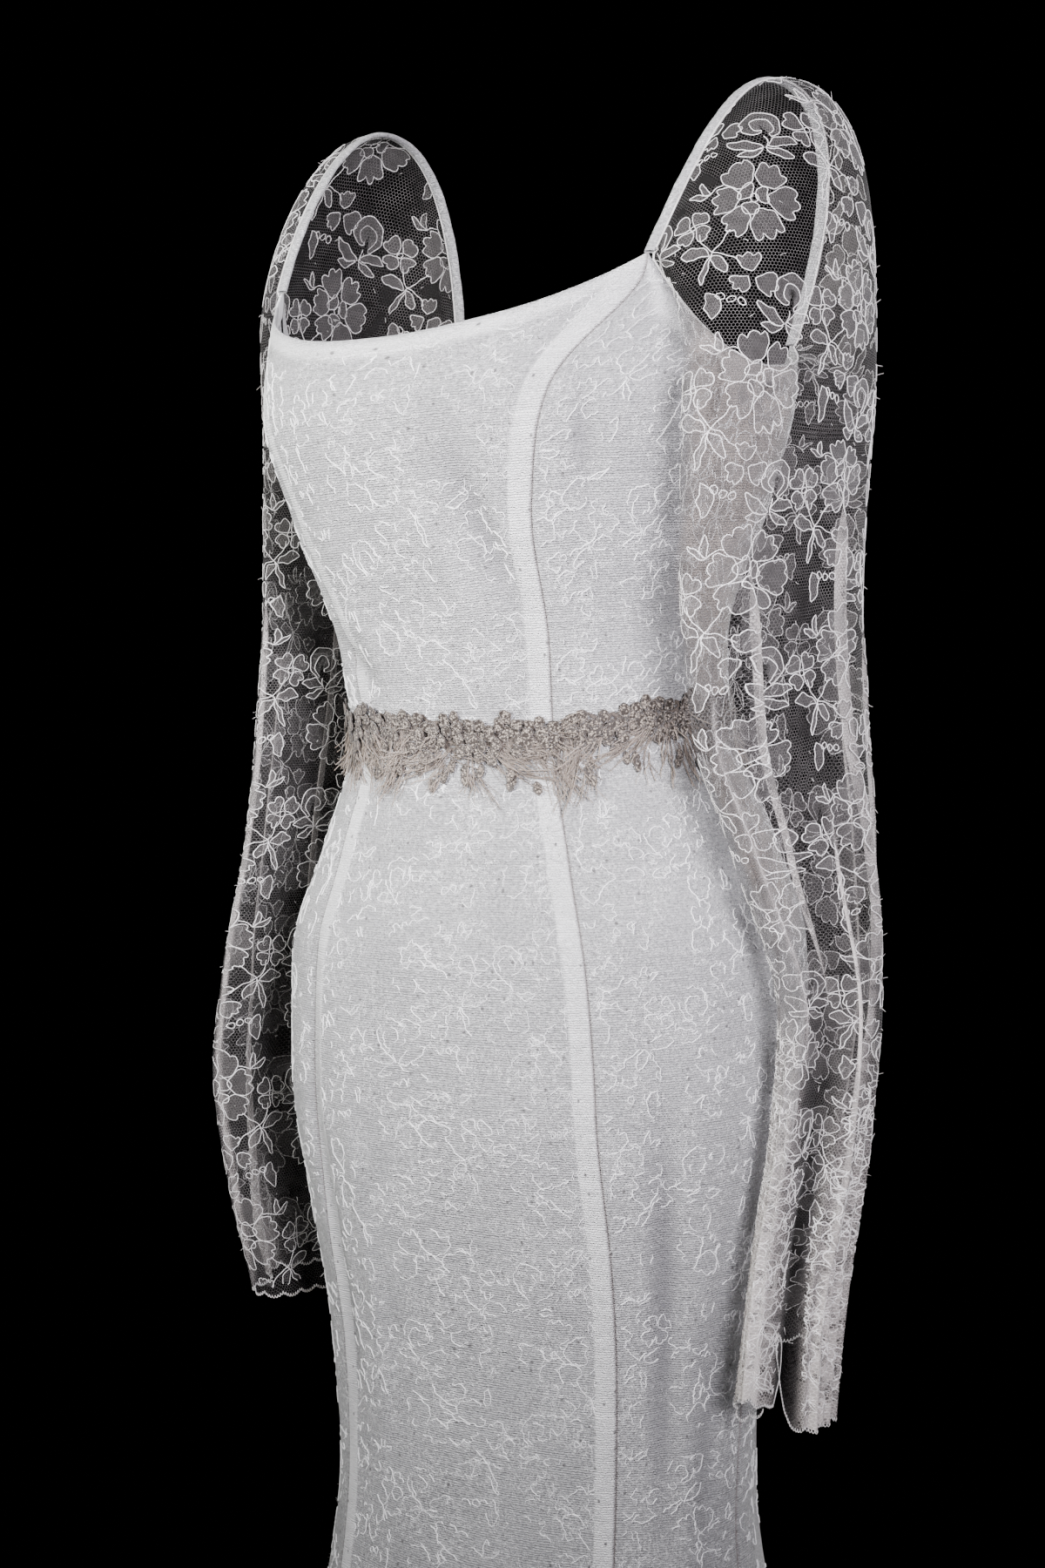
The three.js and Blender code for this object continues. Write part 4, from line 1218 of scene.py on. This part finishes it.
class Sleeve:
    """One sleeve of lace: its grid of cloth, from the hem up, and where its flat cut's points lie on it."""

    def __init__(self, name, mirror, folds, turn, spread, swell, rings, pleats, grooves, bunches):
        self.name, self.mirror, self.rings = name, mirror, rings
        self.pleats, self.grooves, self.bunches = pleats, grooves, bunches
        self.folds, self.turn, self.spread, self.swell = folds, turn, spread, swell
        drops = rings.values["drop"]
        self.first, self.hem = drops[0], drops[-1]
        self.levels = np.linspace(self.hem, self.first, TUBE_ROWS)
        self.spread_turns()
        self.flatten(self.grid(0.0, 0.0)[::STRIDE, ::STRIDE])
        self.cloth = Cloth(pose(self.grid(1.0, self.scallops()) * (mirror, 1, 1), False), mirror > 0)

    def spread_turns(self):
        """Turns of the columns, evenly spaced along the first ring, from the seam under the arm round to it."""
        turn = np.linspace(-180, 180, 721)
        line = self.ring(turn, np.full(721, float(self.first)), 0.0)
        length = lengths(line)
        self.turns = np.interp(np.linspace(0, length[-1], SLEEVE_COLUMNS + 1), length, turn)

    def flatten(self, coarse):
        """The flat cut, across from its middle and down from the hem, and a search tree over it."""
        self.cut_points = flattened(coarse) * (1, -1)
        rows, columns = coarse.shape[:2]
        quads = grid_faces(rows, columns)
        self.triangles = np.concatenate([quads[:, [0, 1, 2]], quads[:, [0, 2, 3]]])
        flat = self.cut_points.reshape(-1, 2)
        i, j = np.meshgrid(np.arange(rows) * STRIDE, np.arange(columns) * STRIDE, indexing="ij")
        self.spots = np.stack([i, j], -1).reshape(-1, 2)
        corners = [(x, y, 0) for x, y in flat.tolist()]
        self.tree = BVHTree.FromPolygons(corners, self.triangles.tolist())

    def scallops(self):
        across = self.cut_points[0, :, 0]
        across = np.interp(np.arange(SLEEVE_COLUMNS + 1) / STRIDE, np.arange(len(across)), across)
        wave = np.abs(np.sin(math.pi * across / SCALLOP["wide"])) ** 0.7
        fade = smooth(1 - (self.hem - self.levels) / SCALLOP["fade"])[:, None]
        drawn = 0
        for centre, half, _, rise, _ in self.bunches:
            drawn = drawn + rise * np.exp(-(((self.turns - centre) / half) ** 4))
        ease = smooth(1 - (self.hem - self.levels) / GATHER["ease"])[:, None]
        return SCALLOP["deep"] * (wave - 0.6) * fade - drawn * ease

    @staticmethod
    def in_pleat(s, drop, start, stop):
        """How far a point lies inside a pleat, from 0 to 1, at s half widths from its middle."""
        return np.exp(-(s**2)) * smooth((drop - start) / 50) * (1 - smooth((drop - stop) / 80))

    def layers(self):
        """Where pleats lay the net over itself, from 0 to 1, for each point of the grid."""
        deep = np.zeros(self.cloth.points.shape[:2])
        for centre, half, _, _, start, stop in self.pleats:
            s = (self.turns[None] - centre) / half
            inside = self.in_pleat(1.3 * s, self.levels[:, None], start, stop)
            deep[:TUBE_ROWS] = np.maximum(deep[:TUBE_ROWS], inside)
        bunch = self.bunched(self.turns[None], self.levels[:, None])
        deep[:TUBE_ROWS] = np.maximum(deep[:TUBE_ROWS], bunch)
        return deep

    def groove_shades(self):
        """Where the net lies in the dark of a groove, from 0 to 1, for each point of the grid: painted shade, as
        the net is made more see-through there.
        """
        gap = np.zeros(self.cloth.points.shape[:2])
        gap[:TUBE_ROWS] = smooth((self.sunken(self.turns[None], self.levels[:, None]) - 8) / 10)
        return gap

    def bunched(self, turn, drop):
        """How tightly the lace is gathered, from 0 to 1."""
        tight = np.zeros(np.broadcast(turn, drop).shape)
        for centre, half, start, _, most in self.bunches:
            near = most * np.exp(-(((turn - centre) / half) ** 4))
            tight = np.maximum(tight, near * smooth((drop - start) / (self.hem - start)) ** 0.6)
        return tight

    def sunken(self, turn, drop):
        """How far the grooves draw the lace in."""
        depth = np.zeros(np.broadcast(turn, drop).shape)
        for centre, half, most, start in self.grooves:
            near = most * np.exp(-(((turn - centre) / half) ** 2))
            depth += near * smooth((drop - start) / (self.hem - start))
        return depth

    def place(self, row, column):
        """The turn and the drop at a place on the grid."""
        turn = np.interp(column, np.arange(SLEEVE_COLUMNS + 1), self.turns)
        return turn, np.interp(row, np.arange(TUBE_ROWS), self.levels)

    def bare(self, row, column):
        """Where the net is folded too far in for its cords to show."""
        return self.sunken(*self.place(row, column)) > GATHER["bare"]

    def loose(self, row, column):
        """Where the net isn't gathered, so that no second layer of lace shows."""
        return (self.bunched(*self.place(row, column)) < GATHER["doubled"]) | self.bare(row, column)

    def ring(self, turn, drop, pleated):
        """Points of the tube: 0 degrees is outwards, 90 to the front, 180 towards the body."""
        turn, drop = np.broadcast_arrays(np.asarray(turn, float), drop)
        slid, out = turn, np.zeros(turn.shape)
        for centre, half, pull, depth, start, stop in self.pleats:
            s = (turn - centre) / half
            near = pleated * self.in_pleat(s, drop, start, stop)
            wander = 4 * np.sin(drop * 0.021 + centre)
            slid = slid - pull * half * s * near + wander * near
            out = out + depth * s * near
        inward = np.maximum(0, -cos(turn))
        fold = self.folds * turn + self.turn
        main = self.rings.at("fold", drop) * cos(fold)
        gathered = smooth((drop - GATHER["from"]) / (self.hem - GATHER["from"]))
        second = -GATHER["depth"] * gathered * cos(2 * fold + 25 * sin(drop * 0.9))
        crimp = GATHER["crimp"] * pleated * self.bunched(turn, drop) * cos(30 * turn + 40 * sin(drop))
        grow = (main + second) * (1 - 0.7 * inward) + out + crimp - self.sunken(turn, drop)
        x = self.rings.at("out", drop) + (self.rings.at("half_out", drop) + grow) * cos(slid)
        y = self.rings.at("back", drop) - (self.rings.at("half_back", drop) + grow) * sin(slid)
        return np.stack([x, y, -drop], -1)

    def grid(self, pleated, lower):
        """Points of the whole sleeve: the tube, and the rounded cap from its first ring to the armhole."""
        tube = self.ring(self.turns[None], self.levels[:, None], pleated)
        tube[..., 2] -= lower
        start, end = tube[-1], armhole(self.turns)
        rise = (end[:, 2] - start[:, 2]) * CAP["fall"]
        outward = np.maximum(0, cos(self.turns))
        none = np.zeros_like(rise)
        low = start + np.stack([self.swell * outward, none, rise], -1)
        side = -CAP["side"] * sin(self.turns)
        high = end + np.stack([self.spread * outward + CAP["clear"], side, none + CAP["lift"]], -1)
        t = (np.arange(1, HEAD_ROWS + 1) / HEAD_ROWS)[:, None, None]
        head = start * (1 - t) ** 3 + 3 * low * t * (1 - t) ** 2 + 3 * high * t**2 * (1 - t) + end * t**3
        return np.concatenate([tube, head])

    def find(self, across, down):
        """The row and column of flat points, and which of them lie on the sleeve."""
        flat = np.stack([across, down], -1).reshape(-1, 2)
        hits = [self.tree.find_nearest((x, y, 0)) for x, y in flat.tolist()]
        triangle = self.triangles[[hit[2] for hit in hits]]
        inside = np.array([hit[3] for hit in hits]) < 0.01
        a, b, c = np.moveaxis(self.cut_points.reshape(-1, 2)[triangle], 1, 0)
        e, f, g = b - a, c - a, flat - a
        size = e[:, 0] * f[:, 1] - e[:, 1] * f[:, 0]
        second = ((g[:, 0] * f[:, 1] - g[:, 1] * f[:, 0]) / size)[:, None]
        third = ((e[:, 0] * g[:, 1] - e[:, 1] * g[:, 0]) / size)[:, None]
        spot = self.spots[triangle]
        spot = spot[:, 0] * (1 - second - third) + spot[:, 1] * second + spot[:, 2] * third
        inside &= spot[:, 0] > 1
        return (*spot.T.reshape(2, *across.shape), inside.reshape(across.shape))

    def piece(self):
        points = self.cloth.points
        faces = grid_faces(*points.shape[:2])
        if self.mirror < 0:
            faces = faces[:, ::-1]
        flat = finer(self.cut_points, STRIDE).reshape(-1, 2)
        paint = {"layers": self.layers(), "gap": self.groove_shades()}
        return make_mesh(self.name + "_net", points.reshape(-1, 3), faces, NET, flat, paint)

    def picots(self):
        """A cord along the hem with a row of small thread loops below it."""
        edge = self.cloth.points[0]
        down = unit(edge - self.cloth.points[2])
        length = lengths(edge)
        at = np.arange(0, length[-1], PICOT["step"])[:, None] + np.linspace(-0.5, 0.5, 7) * PICOT["wide"]
        spot = np.stack([np.interp(at, length, edge[:, k]) for k in range(3)], -1)
        way = np.stack([np.interp(at, length, down[:, k]) for k in range(3)], -1)
        bow = PICOT["deep"] * np.sin(np.linspace(0, math.pi, 7))[:, None]
        return strands(self.name + "_picots", spot + way * bow, PICOT["radius"], WHITE_CORD)

    def cut(self):
        """The flat cut's width, length and area, in metres."""
        size = np.ptp(self.cut_points.reshape(-1, 2), axis=0) * MM
        a, b, c = np.moveaxis(self.cut_points.reshape(-1, 2)[self.triangles], 1, 0) * MM
        e, f = b - a, c - a
        return tuple(size.tolist()), float(np.abs(e[:, 0] * f[:, 1] - e[:, 1] * f[:, 0]).sum() / 2)


for name, shape in SLEEVES.items():
    sleeve = Sleeve(name, **shape)
    piece = place_piece(sleeve.piece(), "sheer_corded_lace", name)
    low, high = sleeve.cut_points.reshape(-1, 2).min(0), sleeve.cut_points.reshape(-1, 2).max(0)
    places = repeats((low[0], high[0]), (low[1], high[1]), np.array([6, 10]))
    on_net = SLEEVE_LACE, places, sleeve
    size = SLEEVE_CORDS["width"], SLEEVE_CORDS["height"]
    cords = lay_cords(name + "_cords", *on_net, *size, WHITE_CORD, bare=sleeve.bare)
    fillings = lay_fillings(name + "_fillings", *on_net, SLEEVE_CORDS["filling"], FILLING, sleeve.bare)
    rows = (2, TUBE_ROWS + HEAD_ROWS - 2)
    ends = loose_ends(
        name + "_loose_ends", sleeve.cloth, SLEEVE_ENDS["count"], SLEEVE_ENDS["length"], WHITE_CORD, rows
    )
    under = SLEEVE_LACE, places * DOUBLED_CORDS["closer"] + DOUBLED_CORDS["shift"], sleeve
    size = DOUBLED_CORDS["width"], DOUBLED_CORDS["height"]
    doubled = lay_cords(name + "_doubled_cords", *under, *size, WHITE_CORD, bare=sleeve.loose)
    seam = strands(name + "_seam", sleeve.cloth.points[-1][None], SEAM_CORD, WHITE_CORD)
    extras = [cords, fillings, ends, doubled, sleeve.picots(), seam]
    for extra in extras:
        place_piece(extra, "sheer_corded_lace")
    flat, area = sleeve.cut()

# Waist trim: embroidered petals in small clusters, and a frayed fringe of tangled threads

WAIST_DROP = 366
TRIM_CORD = 0.44  # radius of a petal's outline
TRIM = {"top": 352, "bottom": 381, "cluster_step": 7.6, "petals": 5, "hanging": 70}
FRINGE = {"bundles": 300, "strands": 6, "from": 362, "to": 386, "reach": 30, "points": 7}


def waist_angles():
    """Angles all round the waist, and the distance along it to each."""
    angle = np.linspace(-179, 179, 717)
    line = body_point(angle, np.full(angle.shape, float(WAIST_DROP)))
    return angle, lengths(line)


WAIST_ANGLE, WAIST_ALONG = waist_angles()
WAIST = WAIST_ALONG[-1]


def on_waist(along, drop, out):
    """Points of the trim by their distance along the waist. The band sags a little in front."""
    angle = np.interp(along, WAIST_ALONG, WAIST_ANGLE)
    sag = 8 * np.exp(-(((angle - 22) / 30) ** 2)) - 2
    return on_body(angle, drop + sag, out)


def trim_petals():
    """Flat outlines of all the trim's petals, along the waist and down, and how far out each lies."""
    centres = np.arange(4, WAIST - 4, TRIM["cluster_step"])
    rows = np.array([359, 369, 362, 373, 365])[np.arange(len(centres)) % 5]
    rows = rows + random.uniform(-2.4, 2.4, len(centres))
    outlines, outs = [], []
    for along, drop in zip(centres + random.uniform(-2, 2, len(centres)), rows):
        first = random.uniform(0, 360)
        for k in range(TRIM["petals"]):
            turn = first + 72 * k + random.uniform(-22, 22)
            reach = random.uniform(7.6, 10.4)
            tip = (reach * cos(turn), reach * sin(turn))
            bend = random.uniform(-1.3, 1.3, 2)
            root = (0.1 * tip[0], 0.1 * tip[1])
            middle = (0.6 * tip[0] + bend[0], 0.6 * tip[1] + bend[1])
            shape = leaf([root, middle, tip], random.uniform(5.2, 6.8), 0.15, 0.55)
            outlines.append(shape[::2] + (along, drop))
            outs.append(random.uniform(1.2, 3.6))
    for along in random.uniform(6, WAIST - 6, TRIM["hanging"]):
        lean = random.uniform(-4, 4)
        shape = leaf([(0, 0), (0.4 * lean, 4), (lean, 8)], random.uniform(3.4, 4.8), 0.15, 0.55)
        outlines.append(shape[::2] + (along, random.uniform(378, 392)))
        outs.append(random.uniform(1.2, 3.4))
    return np.array(outlines), np.array(outs)


def trim_ground():
    """The dark net that the trim's petals are worked on, with uneven edges: partly backing, partly painted shade
    between the petals.
    """
    along = np.linspace(2, WAIST - 2, 400)
    top = TRIM["top"] + 5 + 1.6 * np.sin(along / 5.3) + 1.2 * np.sin(along / 2.1 + 1)
    bottom = TRIM["bottom"] - 9 + 2.4 * np.sin(along / 6.1 + 2) + 1.5 * np.sin(along / 2.7)
    drop = top + (bottom - top) * np.linspace(0, 1, 6)[:, None]
    along = np.broadcast_to(along, drop.shape)
    points = on_waist(along, drop, 0.8).reshape(-1, 3)
    flat = np.stack([along, drop], -1).reshape(-1, 2)
    return make_mesh("trim_ground", points, grid_faces(*drop.shape), TAUPE_GROUND, flat)


def trim_pieces():
    outlines, outs = trim_petals()
    along, drop = outlines[..., 0], outlines[..., 1]
    rim = on_waist(along, drop, np.broadcast_to(outs[:, None], along.shape))
    edges = strands("trim_outlines", rim, TRIM_CORD, DARK_TAUPE_CORD, 3, True)
    middle_flat = outlines.mean(1, keepdims=True)
    half = (outlines + middle_flat) / 2
    inner = on_waist(half[..., 0], half[..., 1], np.broadcast_to(outs[:, None] + 0.1, along.shape))
    centre = on_waist(middle_flat[..., 0], middle_flat[..., 1], outs[:, None] + 0.2)
    points = np.concatenate([rim, inner, centre], 1)
    n = rim.shape[1]
    k = np.arange(n)
    after = (k + 1) % n
    outer = np.concatenate([np.stack([k, after, n + after], -1), np.stack([k, n + after, n + k], -1)])
    fan = np.stack([n + k, n + after, np.full(n, 2 * n)], -1)
    corners = np.concatenate([outer, fan])
    faces = corners[None] + (np.arange(len(points)) * points.shape[1])[:, None, None]
    flat = np.concatenate([outlines, half, middle_flat], 1).reshape(-1, 2)
    fills = make_mesh("trim_petals", points.reshape(-1, 3), faces.reshape(-1, 3), TAUPE_FILL, flat)
    after_along, after_drop = np.roll(along, -1, 1), np.roll(drop, -1, 1)
    area = np.abs((along * after_drop - after_along * drop).sum(1)).sum() / 2
    return edges, fills, float(area * MM**2)


def fringe_piece():
    """Threads that hang below the trim in slanted bundles, with their tips parted."""
    bundles, each, steps = FRINGE["bundles"], FRINGE["strands"], FRINGE["points"]
    count = bundles * each
    t = np.linspace(0, 1, steps)[None]

    def shared(values):
        return np.repeat(values, each)[:, None]

    middle = np.sort(random.uniform(2, WAIST - 2, bundles))
    start = shared(middle) + random.normal(0, 1.5, (count, 1))
    top = shared(random.uniform(FRINGE["from"], FRINGE["to"], bundles)) + random.uniform(-2, 2, (count, 1))
    bunch = 0.72 + 0.28 * np.sin(middle / 13) * np.sin(middle / 31 + 1)
    reach = FRINGE["reach"] * shared(bunch * random.uniform(0.5, 1.2, bundles))
    reach = reach * random.uniform(0.7, 1.15, (count, 1))
    slant = shared(17 * np.sin(middle / 21 + 2) + random.normal(0, 7, bundles))
    slant = slant + random.normal(0, 2.6, (count, 1))
    waves = np.sin(t * random.uniform(2, 9, (count, 1)) + random.uniform(0, 6, (count, 1)))
    curl = random.normal(0, 1.5, (count, 1)) * waves
    along = start + slant * t**1.2 + curl * t
    drop = top + reach * t - 0.018 * slant**2 * t + 0.6 * curl * np.cos(t * 7)
    out = 0.6 + shared(random.uniform(0, 1.2, bundles)) + random.gamma(1.3, 1.7, (count, 1)) * t**1.5
    thick = random.choice([0.26, 0.38, 0.56], (count, 1), p=[0.3, 0.4, 0.3]) * (1 - 0.45 * t)
    # Painted shade towards the roots: the tone rises to the tip
    return strands("fringe_threads", on_waist(along, drop, out), thick, TAUPE_CORD, tip=0.7)


edges, fills, petal_area = trim_pieces()
ground = place_piece(trim_ground(), "taupe_guipure")
place_piece(edges, "taupe_guipure")
place_piece(fills, "taupe_guipure", "waist_trim")
fringe = place_piece(fringe_piece(), "taupe_guipure", "waist_fringe")
list(panel_pieces.values())

# Floor, light and camera

FLOOR = {"radius": 1.2, "level": -1.4262, "sides": 96}
bpy.ops.mesh.primitive_circle_add(
    vertices=FLOOR["sides"],
    radius=FLOOR["radius"],
    fill_type="NGON",
    location=(0, MIDDLE_Y * MM, FLOOR["level"]),
)
floor = bpy.context.object
floor.name = "floor"
floor.data.materials.append(floor_material())

world = bpy.data.worlds.new("studio")
bpy.context.scene.world = world
world.use_nodes = True
world.node_tree.nodes["Background"].inputs["Color"].default_value = (0, 0, 0, 1)
world.node_tree.nodes["Background"].inputs["Strength"].default_value = 0


def aim(thing, target):
    direction = Vector(target) - thing.location
    thing.rotation_euler = direction.to_track_quat("-Z", "Y").to_euler()


LIGHTS = [
    # name, azimuth, distance, height, width, power, colour, height of the point it faces, degrees it opens
    ("key", -12, 1.45, 0.14, 0.4, 6.2, (1.0, 0.997, 0.99), -0.285, 49),
    ("side", 54, 1.7, 0.04, 0.45, 8.0, (0.95, 0.915, 1.0), -0.285, 46),
    ("far", -75, 1.7, 0.1, 0.9, 3.9, (1.0, 1.0, 1.0), -0.40, 100),
    ("back", 190, 2.1, 0.1, 1.4, 52, (1.0, 1.0, 1.0), -0.70, 160),
    ("hem", 30, 1.3, -1.2, 0.5, 0.35, (1.0, 1.0, 1.0), -1.34, 32),
]
for name, azimuth, distance, height, width, power, colour, faces, opens in LIGHTS:
    data = bpy.data.lights.new(name, "AREA")
    data.shape = "RECTANGLE"
    data.size, data.size_y = width, width * 1.3
    data.energy = power
    data.spread = math.radians(opens)
    data.color = colour
    light = bpy.data.objects.new(name, data)
    bpy.context.collection.objects.link(light)
    light.visible_camera = False
    a = math.radians(azimuth)
    light.location = (distance * math.sin(a), -distance * math.cos(a), height)
    aim(light, (0, 0, faces))

CAMERA = {"azimuth": 40, "distance": 1750, "focal_px": 3330, "drop": 219, "aim_side": -12, "aim_drop": 405}
PHOTO_HEIGHT = 1800
a = math.radians(CAMERA["azimuth"])
data = bpy.data.cameras.new("camera")
data.sensor_width = 36
data.lens = CAMERA["focal_px"] * data.sensor_width / PHOTO_HEIGHT
data.clip_start = 0.05
camera = bpy.data.objects.new("camera", data)
bpy.context.collection.objects.link(camera)
camera.location = (
    CAMERA["distance"] * math.sin(a) * MM,
    (MIDDLE_Y - CAMERA["distance"] * math.cos(a)) * MM,
    -CAMERA["drop"] * MM,
)
side = CAMERA["aim_side"]
aim(camera, (side * math.cos(a) * MM, (MIDDLE_Y + side * math.sin(a)) * MM, -CAMERA["aim_drop"] * MM))
bpy.context.scene.camera = camera
